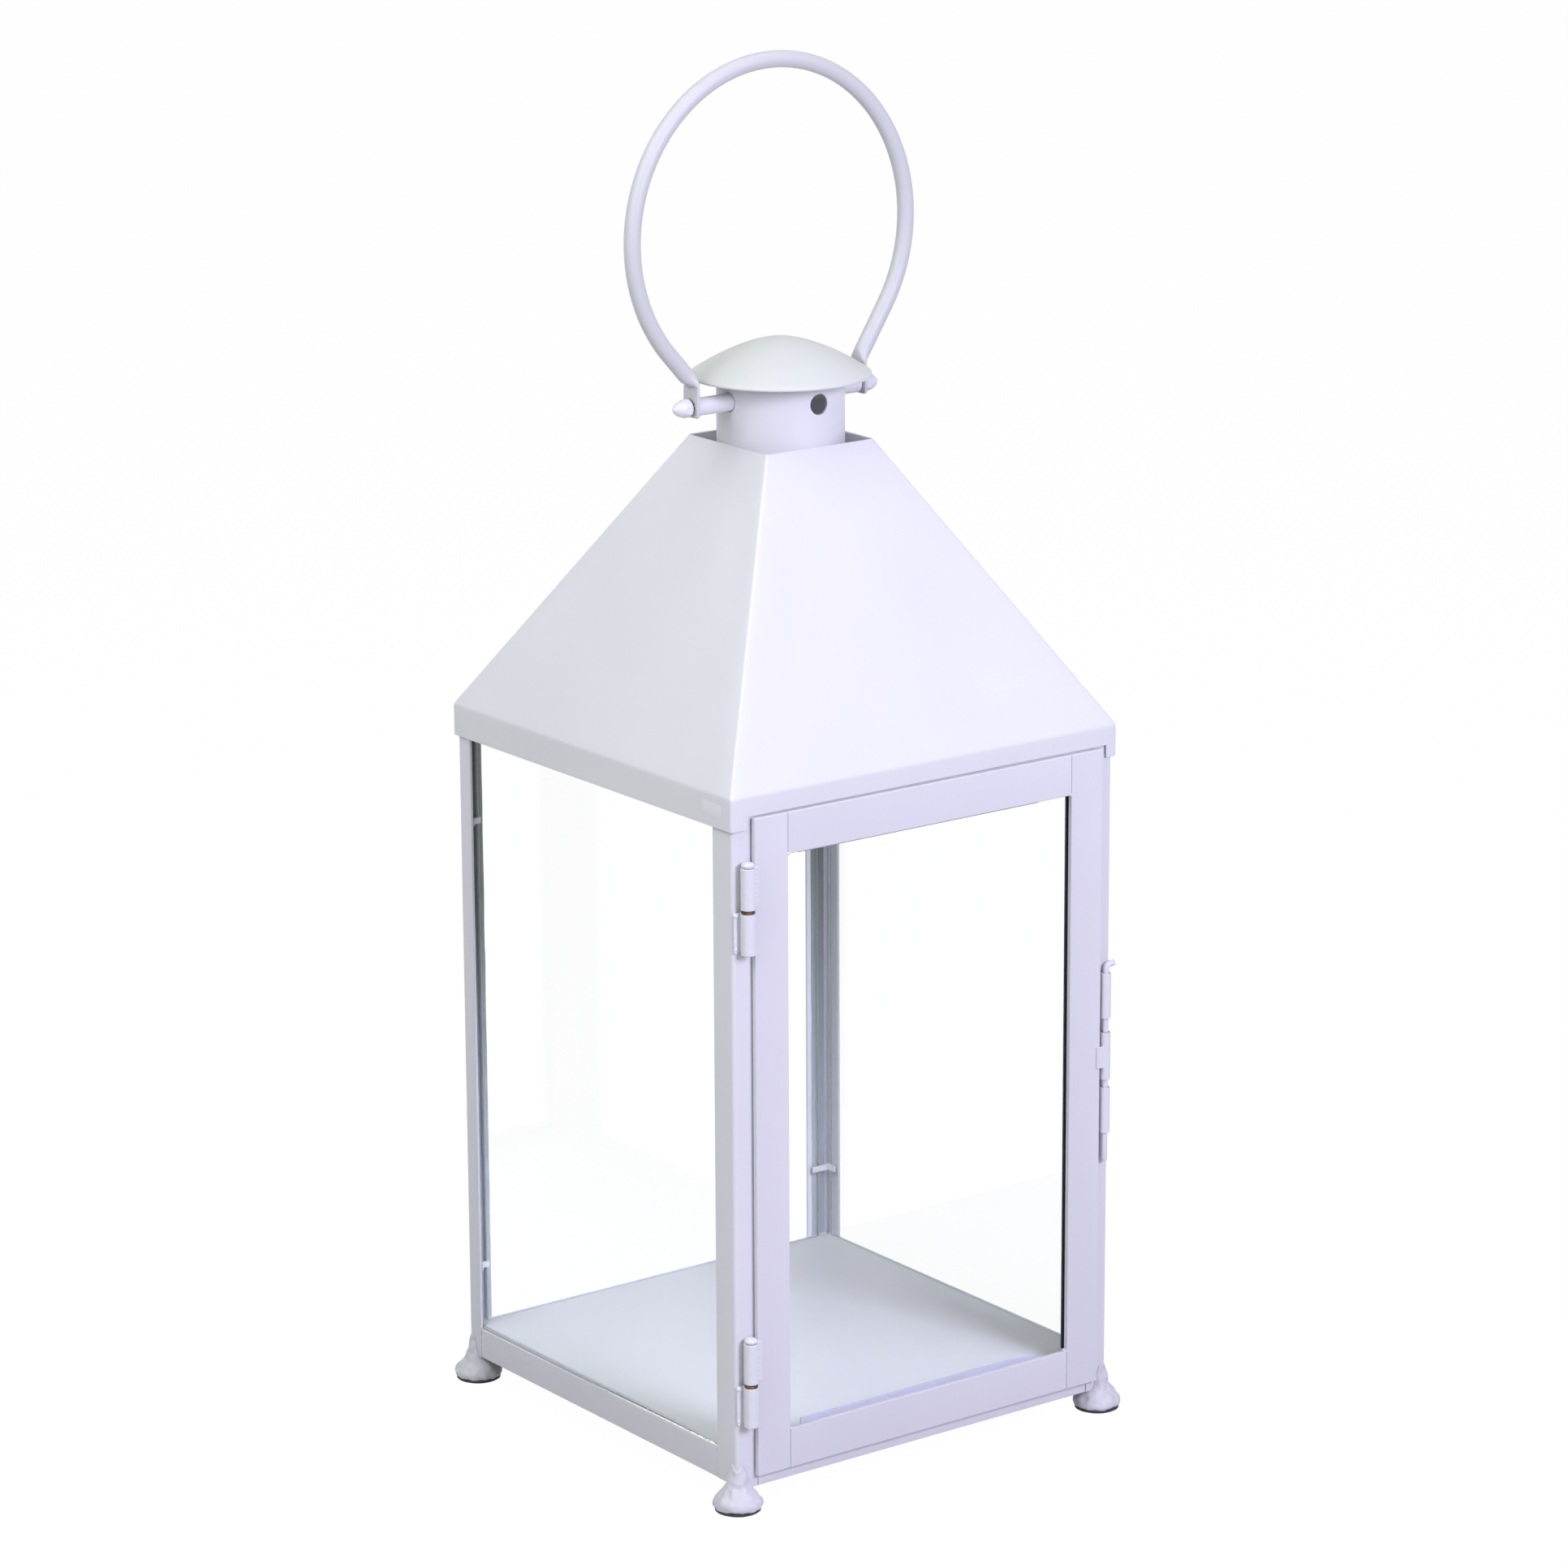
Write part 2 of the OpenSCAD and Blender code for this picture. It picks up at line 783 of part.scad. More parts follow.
floor_plate();
base_rail_left();
base_rail_right();
base_rail_back();
base_rail_front();
head_rail_front();
post_front_left();
post_front_right();
post_back_left();
post_back_right();
foot_front_left();
foot_front_right();
foot_back_left();
foot_back_right();
pad_front_left();
pad_front_right();
pad_back_left();
pad_back_right();
roof_shell();
chimney_collar();
chimney_cap();
crossbar_sleeve();
glass_left();
glass_right();
glass_back();
glass_clips_back();
glass_clips_front();
hinge_post_knuckle_upper();
hinge_post_knuckle_lower();
hinge_pin_upper();
hinge_pin_lower();
hinge_washers();
latch_guides();
door_stile_hinge();
door_stile_latch();
door_rail_top();
door_rail_bottom();
door_glass();
door_glass_seal();
door_retainer_bottom();
door_retainer_top();
hinge_door_knuckle_upper();
hinge_door_knuckle_lower();
latch_keeper();
latch_pin();
handle_ring();
handle_ears();
handle_tie_rod();
lock_washers();
acorn_nuts();
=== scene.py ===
"""Looks of the square candle lantern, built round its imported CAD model. Everything is in metres."""

import math
import random

import bmesh
import bpy
from mathutils import Matrix, Vector, noise
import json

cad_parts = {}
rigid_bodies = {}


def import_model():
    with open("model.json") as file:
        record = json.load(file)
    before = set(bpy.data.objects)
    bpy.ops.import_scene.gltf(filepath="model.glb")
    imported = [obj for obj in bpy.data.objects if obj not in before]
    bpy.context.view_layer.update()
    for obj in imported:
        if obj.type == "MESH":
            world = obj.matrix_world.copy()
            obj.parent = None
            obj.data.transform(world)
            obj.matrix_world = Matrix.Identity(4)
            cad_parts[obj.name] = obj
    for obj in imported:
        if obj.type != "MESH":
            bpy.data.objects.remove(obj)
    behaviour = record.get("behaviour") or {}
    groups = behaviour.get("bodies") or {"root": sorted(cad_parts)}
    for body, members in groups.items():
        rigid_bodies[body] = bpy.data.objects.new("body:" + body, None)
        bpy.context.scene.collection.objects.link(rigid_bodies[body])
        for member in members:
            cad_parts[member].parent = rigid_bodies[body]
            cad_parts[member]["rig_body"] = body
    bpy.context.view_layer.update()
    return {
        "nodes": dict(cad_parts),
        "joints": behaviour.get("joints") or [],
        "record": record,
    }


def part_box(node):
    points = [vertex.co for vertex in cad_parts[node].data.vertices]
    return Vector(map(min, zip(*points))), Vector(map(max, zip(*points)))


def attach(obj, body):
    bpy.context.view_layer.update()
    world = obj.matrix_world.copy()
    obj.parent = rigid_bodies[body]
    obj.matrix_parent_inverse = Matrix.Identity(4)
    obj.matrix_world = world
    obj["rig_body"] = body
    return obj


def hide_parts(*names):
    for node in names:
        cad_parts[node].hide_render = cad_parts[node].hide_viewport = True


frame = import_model()

MM = 0.001
scene = bpy.context.scene
nodes = frame["nodes"]
joints = {joint["name"]: joint for joint in frame["joints"]}
pivot = Vector(joints["handle_swing"]["pos_m"])


# ---- Camera, light and floor ----

CAMERA_AZIMUTH = -36.661
CAMERA_ELEVATION = 15.002
CAMERA_ROLL = -0.272
CAMERA_DISTANCE = 3.4165
CAMERA_LENS = 130.75
CAMERA_AIM = Vector((0.0003, -0.0012, 0.3882))

LAMP_AIM = Vector((0, 0, 0.35))
# name, place, size, power, colour
SOFTBOXES = (
    ("softbox_front", (0.25, -2.35, 1.45), 0.9, 50, (0.76, 0.735, 0.965)),
    ("softbox_top", (0.2, -0.2, 2.6), 1.6, 8, (0.9, 0.95, 1.0)),
    ("softbox_top_left", (-1.3, 0.2, 2.2), 1.4, 18, (0.95, 0.98, 1.0)),
    ("softbox_left", (-1.05, -0.4, 1.2), 0.6, 3.8, (0.92, 0.93, 1.0)),
    ("softbox_low_left", (-2.1, -0.5, 0.8), 1.0, 3.1, (0.92, 0.95, 1.0)),
)
WORLD_LIGHT = 0.14
FLOOR_SIZE = 14
FLOOR_ALBEDO = 0.42
FLOOR_GLOW_SHARE = 0.93
FLOOR_GLOW_STRENGTH = 1.06


def make_camera():
    azimuth, elevation = math.radians(CAMERA_AZIMUTH), math.radians(CAMERA_ELEVATION)
    back = Vector((
        math.sin(azimuth) * math.cos(elevation),
        -math.cos(azimuth) * math.cos(elevation),
        math.sin(elevation),
    ))
    right = Vector((0, 0, 1)).cross(back).normalized()
    up = back.cross(right)
    turn = Matrix((right, up, back)).transposed() @ Matrix.Rotation(math.radians(CAMERA_ROLL), 3, "Z")
    data = bpy.data.cameras.new("camera")
    data.lens = CAMERA_LENS
    data.sensor_width = 36
    data.clip_start, data.clip_end = 0.1, 100
    camera = bpy.data.objects.new("camera", data)
    camera.matrix_world = Matrix.Translation(CAMERA_AIM + back * CAMERA_DISTANCE) @ turn.to_4x4()
    scene.collection.objects.link(camera)
    scene.camera = camera


def make_softbox(name, place, size, power, colour):
    """A square soft light that looks at the lantern's body."""
    data = bpy.data.lights.new(name, "AREA")
    data.shape = "SQUARE"
    data.size = size
    data.energy = power
    data.color = colour
    light = bpy.data.objects.new(name, data)
    light.location = place
    light.rotation_mode = "QUATERNION"
    light.rotation_quaternion = (Vector(place) - LAMP_AIM).to_track_quat("Z", "Y")
    scene.collection.objects.link(light)


def make_world():
    """White to the camera and in reflections, and weaker as a light."""
    world = bpy.data.worlds.new("studio")
    scene.world = world
    world.use_nodes = True
    tree = world.node_tree
    background = tree.nodes["Background"]
    background.inputs["Color"].default_value = (0.97, 0.98, 1.0, 1)
    path = tree.nodes.new("ShaderNodeLightPath")
    strength = tree.nodes.new("ShaderNodeMapRange")
    strength.inputs["To Min"].default_value = 1.0
    strength.inputs["To Max"].default_value = WORLD_LIGHT
    tree.links.new(path.outputs["Diffuse Depth"], strength.inputs["Value"])
    tree.links.new(strength.outputs["Result"], background.inputs["Strength"])


def make_studio_floor():
    """A pale floor with faint shadows, which throws little light back."""
    bm = bmesh.new()
    bmesh.ops.create_grid(bm, x_segments=1, y_segments=1, size=FLOOR_SIZE)
    mesh = bpy.data.meshes.new("studio_floor")
    bm.to_mesh(mesh)
    bm.free()
    floor = bpy.data.objects.new("studio_floor", mesh)
    scene.collection.objects.link(floor)
    pale = bpy.data.materials.new("pale_floor")
    pale.use_nodes = True
    tree = pale.node_tree
    shader = tree.nodes["Principled BSDF"]
    shader.inputs["Base Color"].default_value = (FLOOR_ALBEDO, FLOOR_ALBEDO, FLOOR_ALBEDO, 1)
    shader.inputs["Roughness"].default_value = 0.9
    shader.inputs["Specular IOR Level"].default_value = 0.1
    glow = tree.nodes.new("ShaderNodeEmission")
    glow.inputs["Color"].default_value = (1, 1, 1, 1)
    glow.inputs["Strength"].default_value = FLOOR_GLOW_STRENGTH
    path = tree.nodes.new("ShaderNodeLightPath")
    share = tree.nodes.new("ShaderNodeMapRange")
    share.inputs["To Min"].default_value = FLOOR_GLOW_SHARE
    share.inputs["To Max"].default_value = 0.0
    blend = tree.nodes.new("ShaderNodeMixShader")
    tree.links.new(path.outputs["Diffuse Depth"], share.inputs["Value"])
    tree.links.new(share.outputs["Result"], blend.inputs[0])
    tree.links.new(shader.outputs[0], blend.inputs[1])
    tree.links.new(glow.outputs[0], blend.inputs[2])
    tree.links.new(blend.outputs[0], tree.nodes["Material Output"].inputs["Surface"])
    mesh.materials.append(pale)


def make_studio():
    scene.view_settings.view_transform = "Standard"
    make_world()
    for lamp in SOFTBOXES:
        make_softbox(*lamp)
    make_studio_floor()


# ---- Materials ----

class Shader:
    """A procedural material, with short calls for its nodes."""

    def __init__(self, name):
        self.material = bpy.data.materials.new(name)
        self.material.use_nodes = True
        self.tree = self.material.node_tree
        self.surface = self.tree.nodes["Principled BSDF"]
        self.place = self.tree.nodes.new("ShaderNodeTexCoord").outputs["Object"]

    def link(self, source, target):
        self.tree.links.new(source, target)

    def noise(self, size, detail=2.0, stretch=None):
        node = self.tree.nodes.new("ShaderNodeTexNoise")
        node.inputs["Scale"].default_value = 1 / size
        node.inputs["Detail"].default_value = detail
        place = self.place
        if stretch:
            mapping = self.tree.nodes.new("ShaderNodeMapping")
            mapping.inputs["Scale"].default_value = stretch
            self.link(place, mapping.inputs["Vector"])
            place = mapping.outputs["Vector"]
        self.link(place, node.inputs["Vector"])
        return node.outputs["Fac"]

    def cells(self, size):
        node = self.tree.nodes.new("ShaderNodeTexVoronoi")
        node.inputs["Scale"].default_value = 1 / size
        self.link(self.place, node.inputs["Vector"])
        return node

    def ramp(self, source, low, high, start=0.0, end=1.0):
        """source from low to high becomes start to end."""
        node = self.tree.nodes.new("ShaderNodeMapRange")
        for name, value in (("From Min", low), ("From Max", high), ("To Min", start), ("To Max", end)):
            node.inputs[name].default_value = value
        self.link(source, node.inputs["Value"])
        return node.outputs["Result"]

    def mix(self, share, first, second):
        """first where share is 0 and second where it is 1. Each is a colour or a socket."""
        node = self.tree.nodes.new("ShaderNodeMix")
        node.data_type = "RGBA"
        sockets = [s for s in node.inputs if s.type == "RGBA"]
        for socket, value in zip(sockets, (first, second)):
            if isinstance(value, tuple):
                socket.default_value = (*value, 1)
            else:
                self.link(value, socket)
        self.link(share, node.inputs[0])
        return [s for s in node.outputs if s.type == "RGBA"][0]

    def maths(self, operation, first, second):
        node = self.tree.nodes.new("ShaderNodeMath")
        node.operation = operation
        for socket, value in zip(node.inputs, (first, second)):
            if isinstance(value, (int, float)):
                socket.default_value = value
            else:
                self.link(value, socket)
        return node.outputs[0]

    def bump(self, height, depth, below=None):
        node = self.tree.nodes.new("ShaderNodeBump")
        node.inputs["Distance"].default_value = depth
        node.inputs["Strength"].default_value = 1.0
        self.link(height, node.inputs["Height"])
        if below is not None:
            self.link(below, node.inputs["Normal"])
        return node.outputs["Normal"]

    def pointiness(self):
        return self.tree.nodes.new("ShaderNodeNewGeometry").outputs["Pointiness"]

    def set(self, name, value):
        socket = self.surface.inputs[name]
        if isinstance(value, bpy.types.NodeSocket):
            self.link(value, socket)
        else:
            socket.default_value = value


def powder_coat(name, colour, thin_colour, grain_depth):
    """Satin powder coat: clouding, orange peel, sparse dust nibs, and thinner paint on sharp edges."""
    s = Shader(name)
    shade = tuple(c * 0.955 for c in colour)
    clouds = s.ramp(s.noise(85 * MM, 3), 0.3, 0.7)
    base = s.mix(clouds, shade, colour)
    mottle = s.ramp(s.noise(3.2 * MM, 3), 0.35, 0.75, 0, 0.5)
    base = s.mix(mottle, base, tuple(c * 0.965 for c in colour))
    edges = s.ramp(s.pointiness(), 0.54, 0.68, 0, 0.45)
    base = s.mix(edges, base, thin_colour)
    nibs = s.cells(9 * MM)
    sparse = s.ramp(nibs.outputs["Color"], 0.72, 0.74)
    dots = s.maths("MULTIPLY", s.ramp(nibs.outputs["Distance"], 0.06, 0.02), sparse)
    base = s.mix(s.maths("MULTIPLY", dots, 0.35), base, tuple(c * 0.8 for c in colour))
    s.set("Base Color", base)
    s.set("Roughness", s.ramp(s.noise(14 * MM, 3), 0.3, 0.7, 0.4, 0.52))
    peel = s.bump(s.noise(1.3 * MM, 2), grain_depth)
    waves = s.bump(s.noise(24 * MM, 2), 0.12 * MM, peel)
    s.set("Normal", s.bump(dots, 0.12 * MM, waves))
    s.set("Specular IOR Level", 0.45)
    return s.material


def clear_glass():
    """Float glass. Light from the lamps passes straight through it."""
    s = Shader("clear_glass")
    s.set("Base Color", (0.998, 1.0, 1.0, 1))
    s.set("Transmission Weight", 1.0)
    s.set("IOR", 1.3)
    s.set("Specular IOR Level", 0.35)
    s.set("Roughness", s.ramp(s.noise(60 * MM, 4), 0.6, 0.85, 0.0, 0.02))
    output = s.tree.nodes["Material Output"]
    lamp = s.tree.nodes.new("ShaderNodeLightPath")
    straight = s.tree.nodes.new("ShaderNodeBsdfTransparent")
    straight.inputs["Color"].default_value = (0.97, 0.985, 0.98, 1)
    mixed = s.tree.nodes.new("ShaderNodeMixShader")
    s.link(lamp.outputs["Is Shadow Ray"], mixed.inputs[0])
    s.link(s.surface.outputs[0], mixed.inputs[1])
    s.link(straight.outputs[0], mixed.inputs[2])
    s.link(mixed.outputs[0], output.inputs["Surface"])
    return s.material


def glass_edge():
    """The ground edge of a pane, where the glass looks grey-green."""
    s = Shader("glass_edge")
    grind = s.noise(0.8 * MM, 3, (1, 1, 6))
    s.set("Base Color", s.mix(s.ramp(grind, 0.3, 0.7), (0.42, 0.52, 0.53), (0.55, 0.66, 0.66)))
    s.set("Roughness", s.ramp(grind, 0.3, 0.7, 0.25, 0.5))
    s.set("Transmission Weight", 0.45)
    s.set("IOR", 1.46)
    s.set("Normal", s.bump(grind, 0.08 * MM))
    return s.material


def black_rubber():
    """Matt rubber with a dusty bloom and small scuffs."""
    s = Shader("black_rubber")
    bloom = s.ramp(s.noise(7 * MM, 4), 0.45, 0.8, 0, 0.6)
    scuffs = s.ramp(s.noise(1.5 * MM, 3, (1, 1, 4)), 0.58, 0.72, 0, 0.5)
    base = s.mix(bloom, (0.035, 0.04, 0.047), (0.075, 0.08, 0.088))
    s.set("Base Color", s.mix(scuffs, base, (0.16, 0.16, 0.18)))
    s.set("Roughness", s.ramp(bloom, 0, 0.6, 0.72, 0.92))
    s.set("Normal", s.bump(s.noise(0.7 * MM, 3), 0.08 * MM))
    return s.material


def dull_brass():
    """Bare brass with brown tarnish and turning marks, kept far darker than clean brass: painted shade in
    the narrow gaps between the hinge knuckles.
    """
    s = Shader("dull_brass")
    tarnish = s.ramp(s.noise(2.5 * MM, 4), 0.35, 0.65)
    s.set("Base Color", s.mix(tarnish, (0.2, 0.13, 0.08), (0.06, 0.04, 0.035)))
    s.set("Metallic", 1.0)
    s.set("Roughness", s.ramp(tarnish, 0, 1, 0.32, 0.6))
    s.set("Normal", s.bump(s.noise(0.5 * MM, 2, (1, 1, 8)), 0.04 * MM))
    return s.material


def zinc_steel(name, colour, cast_colour):
    """Zinc plating with a faint cast."""
    s = Shader(name)
    cast = s.ramp(s.noise(3 * MM, 3), 0.35, 0.65)
    s.set("Base Color", s.mix(cast, colour, cast_colour))
    s.set("Metallic", 1.0)
    s.set("Roughness", s.ramp(s.noise(1.0 * MM, 4), 0.3, 0.7, 0.26, 0.45))
    s.set("Normal", s.bump(s.noise(0.4 * MM, 2), 0.03 * MM))
    return s.material


def label_film():
    """Blank white film label with a faint fibre and a soft sheen."""
    s = Shader("label_film")
    fibre = s.noise(0.9 * MM, 4, (1, 5, 1))
    s.set("Base Color", s.mix(s.ramp(fibre, 0.35, 0.65), (0.86, 0.85, 0.9), (0.8, 0.79, 0.84)))
    s.set("Roughness", s.ramp(fibre, 0.3, 0.7, 0.3, 0.42))
    s.set("Normal", s.bump(s.noise(6 * MM, 2), 0.15 * MM))
    return s.material


WHITE = powder_coat("white_powder_coat", (0.82, 0.81, 0.85), (0.7, 0.69, 0.74), 0.035 * MM)
# A slightly darker, less lavender copy of the white paint for the roof: painted shade.
ROOF_WHITE = powder_coat("roof_powder_coat", (0.81, 0.81, 0.83), (0.72, 0.72, 0.76), 0.025 * MM)
# A darker, greenish copy of the white paint for the cap: painted shade and a painted green reflection.
CAP_WHITE = powder_coat("cap_powder_coat", (0.72, 0.745, 0.7), (0.66, 0.675, 0.65), 0.025 * MM)
# A darker, greenish copy of the white paint for the floor plate: painted shade inside the lantern, tinted
# as if seen through the glass.
FLOOR_WHITE = powder_coat("floor_powder_coat", (0.665, 0.685, 0.68), (0.64, 0.655, 0.66), 0.02 * MM)
# A darker copy of the white paint for the feet: painted shade.
FOOT_WHITE = powder_coat("foot_powder_coat", (0.72, 0.71, 0.75), (0.6, 0.59, 0.64), 0.05 * MM)
# A much darker, bluish copy of the white paint for the door's glass retainers: painted shade.
STRIP_WHITE = powder_coat("strip_powder_coat", (0.44, 0.44, 0.52), (0.4, 0.4, 0.47), 0.03 * MM)
# A darker copy of the white paint for the handle: painted shade.
HANDLE_WHITE = powder_coat("handle_powder_coat", (0.66, 0.655, 0.67), (0.61, 0.605, 0.62), 0.01 * MM)
CLEAR = clear_glass()
EDGE = glass_edge()
RUBBER = black_rubber()
BRASS = dull_brass()
STEEL = zinc_steel("zinc_steel", (0.5, 0.52, 0.58), (0.62, 0.6, 0.55))
# A near-black copy of the zinc steel: painted shade between the lock washers' teeth.
SHADED_STEEL = zinc_steel("shaded_zinc_steel", (0.05, 0.055, 0.1), (0.09, 0.09, 0.12))
LABEL = label_film()

SLOT_MATERIALS = {
    "white_powder_coat": WHITE,
    "clear_glass": CLEAR,
    "black_rubber": RUBBER,
    "bare_brass": BRASS,
    "zinc_steel": STEEL,
}
SLOTS = {part["node"]: part["material_slot"] for part in frame["record"]["subparts"]}


# ---- Mesh tools ----

def add_piece(name, bm, slot, body, replaced=(), material=None, sharp=40):
    """Makes a shown piece of a bmesh, and frees the bmesh."""
    mesh = bpy.data.meshes.new(name)
    bm.to_mesh(mesh)
    bm.free()
    mesh.materials.append(material or SLOT_MATERIALS[slot])
    obj = bpy.data.objects.new(name, mesh)
    scene.collection.objects.link(obj)
    shade(obj, sharp)
    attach(obj, body)
    if replaced:
        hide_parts(*replaced)
    return obj


def shade(obj, sharp):
    """Smooth shading, apart from edges sharper than the angle in degrees."""
    for polygon in obj.data.polygons:
        polygon.use_smooth = True
    obj.data.set_sharp_from_angle(angle=math.radians(sharp))


def settle(obj, sharp=40):
    """Makes what the modifiers give the object's own mesh."""
    graph = bpy.context.evaluated_depsgraph_get()
    mesh = bpy.data.meshes.new_from_object(obj.evaluated_get(graph), depsgraph=graph)
    obj.modifiers.clear()
    obj.data = mesh
    shade(obj, sharp)


def body_of(node):
    return nodes[node]["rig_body"]


def cad_shape(node):
    """A clean bmesh of a CAD node, with its flat faces whole."""
    bm = bmesh.new()
    bm.from_mesh(nodes[node].data)
    bmesh.ops.remove_doubles(bm, verts=bm.verts, dist=0.003 * MM)
    bmesh.ops.dissolve_limit(bm, angle_limit=math.radians(0.4), verts=bm.verts, edges=bm.edges)
    return bm


def rounded(node, radius, segments=3, material=None):
    """The CAD node's own shape with its edges rounded by paint."""
    slot = SLOTS[node]
    obj = add_piece(node + "_painted", cad_shape(node), slot, body_of(node), (node,), material)
    bevel = obj.modifiers.new("round_edges", "BEVEL")
    bevel.width = radius
    bevel.segments = segments
    bevel.limit_method = "ANGLE"
    bevel.angle_limit = math.radians(35)
    bevel.miter_outer = "MITER_ARC"
    settle(obj, 60)
    obj.modifiers.new("even_normals", "WEIGHTED_NORMAL").keep_sharp = True


def loft(rings, closed=False):
    """A skin over rings of points. The ends are capped, or joined if it is closed."""
    bm = bmesh.new()
    loops = [[bm.verts.new(point) for point in ring] for ring in rings]
    count = len(loops[0])
    following = loops[1:] + ([loops[0]] if closed else [])
    for near, far in zip(loops, following):
        for i in range(count):
            j = (i + 1) % count
            bm.faces.new((near[i], near[j], far[j], far[i]))
    if not closed:
        bm.faces.new(loops[0][::-1])
        bm.faces.new(loops[-1])
    bmesh.ops.remove_doubles(bm, verts=bm.verts, dist=1e-7)
    bmesh.ops.recalc_face_normals(bm, faces=bm.faces)
    return bm


def ring_points(centre, across, along, radius, count):
    """A circle of points about centre in the plane of the two unit vectors."""
    turns = [2 * math.pi * i / count for i in range(count)]
    return [centre + across * (radius * math.cos(t)) + along * (radius * math.sin(t)) for t in turns]


def revolve(profile, centre, count):
    """Turns a profile of (radius, height) round the vertical through centre."""
    x, y = Vector((1, 0, 0)), Vector((0, 1, 0))
    rings = [ring_points(centre + Vector((0, 0, h)), x, y, r, count) for r, h in profile]
    bm = loft(rings)
    ends = [f for f in bm.faces if len(f.verts) == count]
    poles = [f for f in ends if f.calc_area() < 1e-12]
    bmesh.ops.delete(bm, geom=poles, context="FACES")
    return bm


def lump(bm, centre, radius, stretch=(1, 1, 1)):
    """Adds a blob of weld or paint, for a mesh that remesh() then melts together."""
    made = bmesh.ops.create_icosphere(bm, subdivisions=2, radius=radius)
    for vert in made["verts"]:
        vert.co = Vector(c * s for c, s in zip(vert.co, stretch)) + centre


def remesh(obj, voxel, smoothing, roughness=0.0, grain=4 * MM):
    """Melts a mesh into one skin, smooths it and gives it slight lumps."""
    melt = obj.modifiers.new("melt", "REMESH")
    melt.mode = "VOXEL"
    melt.voxel_size = voxel
    soft = obj.modifiers.new("soften", "SMOOTH")
    soft.factor = 0.5
    soft.iterations = smoothing
    settle(obj, 180)
    if roughness:
        offsets = [v.normal * (noise.noise(v.co / grain) * roughness) for v in obj.data.vertices]
        for vert, offset in zip(obj.data.vertices, offsets):
            vert.co += offset


def smooth_step(t):
    t = min(max(t, 0), 1)
    return t * t * (3 - 2 * t)


# ---- Frame, door bars and floor ----

def make_bars():
    for node in nodes:
        if node.startswith(("post_", "base_rail_", "head_rail_")):
            rounded(node, 0.45 * MM)
        elif node.startswith(("door_stile_", "door_rail_")):
            rounded(node, 0.55 * MM)
        elif node.startswith("door_retainer_"):
            rounded(node, 0.3 * MM, 2, STRIP_WHITE)
        elif node in ("glass_clips_back", "glass_clips_front"):
            rounded(node, 0.3 * MM, 2)
        elif node in ("hinge_washers", "door_glass_seal", "hinge_pin_upper", "hinge_pin_lower"):
            rounded(node, 0.3 * MM, 2)
        elif node in ("chimney_collar", "crossbar_sleeve", "latch_guides", "latch_keeper"):
            rounded(node, 0.35 * MM)
        elif node == "floor_plate":
            rounded(node, 0.4 * MM, 3, FLOOR_WHITE)


def weld_bead(name, start, end, radius, body, seed):
    """A short weld under paint: overlapping lumps of uneven size along a line."""
    rng = random.Random(seed)
    bm = bmesh.new()
    count = max(2, round((end - start).length / (radius * 0.8)))
    for i in range(count + 1):
        size = radius * rng.uniform(0.8, 1.15)
        shift = Vector(rng.uniform(-1, 1) for _ in range(3)) * (radius * 0.15)
        lump(bm, start.lerp(end, i / count) + shift, size)
    obj = add_piece(name, bm, "white_powder_coat", body)
    remesh(obj, radius * 0.22, 3)


def make_welds():
    """Small welds where the real frame is joined and the paint shows it."""
    low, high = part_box("door_rail_bottom")
    top_rail_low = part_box("door_rail_top")[0]
    span = Vector((0, 1.1 * MM, 0))
    for label, z, side in (("bottom", high.z, 1), ("top", top_rail_low.z, -1)):
        for end, x, inward in (("left", low.x, 1), ("right", high.x, -1)):
            corner = Vector((x + 0.2 * MM * inward, (low.y + high.y) / 2, z - 0.1 * MM * side))
            seed = seed_from(label + end)
            weld_bead(f"door_weld_{label}_{end}", corner - span, corner + span, 1.1 * MM, "door", seed)
    for side in ("left", "right"):
        rail_low, rail_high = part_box("base_rail_" + side)
        x = rail_high.x - 0.3 * MM if side == "left" else rail_low.x + 0.3 * MM
        for end, y in (("front", rail_low.y), ("back", rail_high.y)):
            start = Vector((x, y, rail_low.z + 3 * MM))
            finish = start + Vector((0, 0, 11 * MM))
            seed = seed_from(side + end)
            weld_bead(f"rail_weld_{side}_{end}", start, finish, 1.2 * MM, "lantern_body", seed)


def seed_from(text):
    """A seed that is the same in each run."""
    return sum(ord(c) * (i + 3) for i, c in enumerate(text))


# ---- Roof, chimney and cap ----

ROOF_SHEET = 0.9 * MM
ROOF_BEND = 431.6 * MM
MOUTH_HALF = 39.1 * MM
NOTCH = (-130.5 * MM, 134 * MM)
NOTCH_HEIGHT = 420 * MM
HIP_RADIUS = 1.7 * MM
HIP_STEPS = 4
BEND_RADIUS = 5 * MM
SIDE_STEPS = 22
SKIRT_STEPS = 5
BEND_STEPS = 5
SLOPE_STEPS = 24
SHEET_WAVES = 0.9 * MM


def roof_profile(half, bottom, top):
    """(half width, height, lean) up the middle of one side. The lean is 0 on the skirt."""
    slope = Vector((half - MOUTH_HALF, ROOF_BEND - top)).normalized()
    out_x, out_z = -slope.y, slope.x
    lean = math.atan2(out_z, out_x)
    reach = BEND_RADIUS * math.tan(lean / 2)
    levels = []
    for i in range(SKIRT_STEPS):
        levels.append((half, bottom + (ROOF_BEND - reach - bottom) * i / SKIRT_STEPS, 0.0))
    centre_x, centre_z = half - BEND_RADIUS, ROOF_BEND - reach
    for i in range(BEND_STEPS + 1):
        a = lean * i / BEND_STEPS
        levels.append((centre_x + BEND_RADIUS * math.cos(a), centre_z + BEND_RADIUS * math.sin(a), a))
    width, height = levels[-1][:2]
    for i in range(1, SLOPE_STEPS + 1):
        t = i / SLOPE_STEPS
        levels.append((width + (MOUTH_HALF - width) * t, height + (top - height) * t, lean))
    return levels


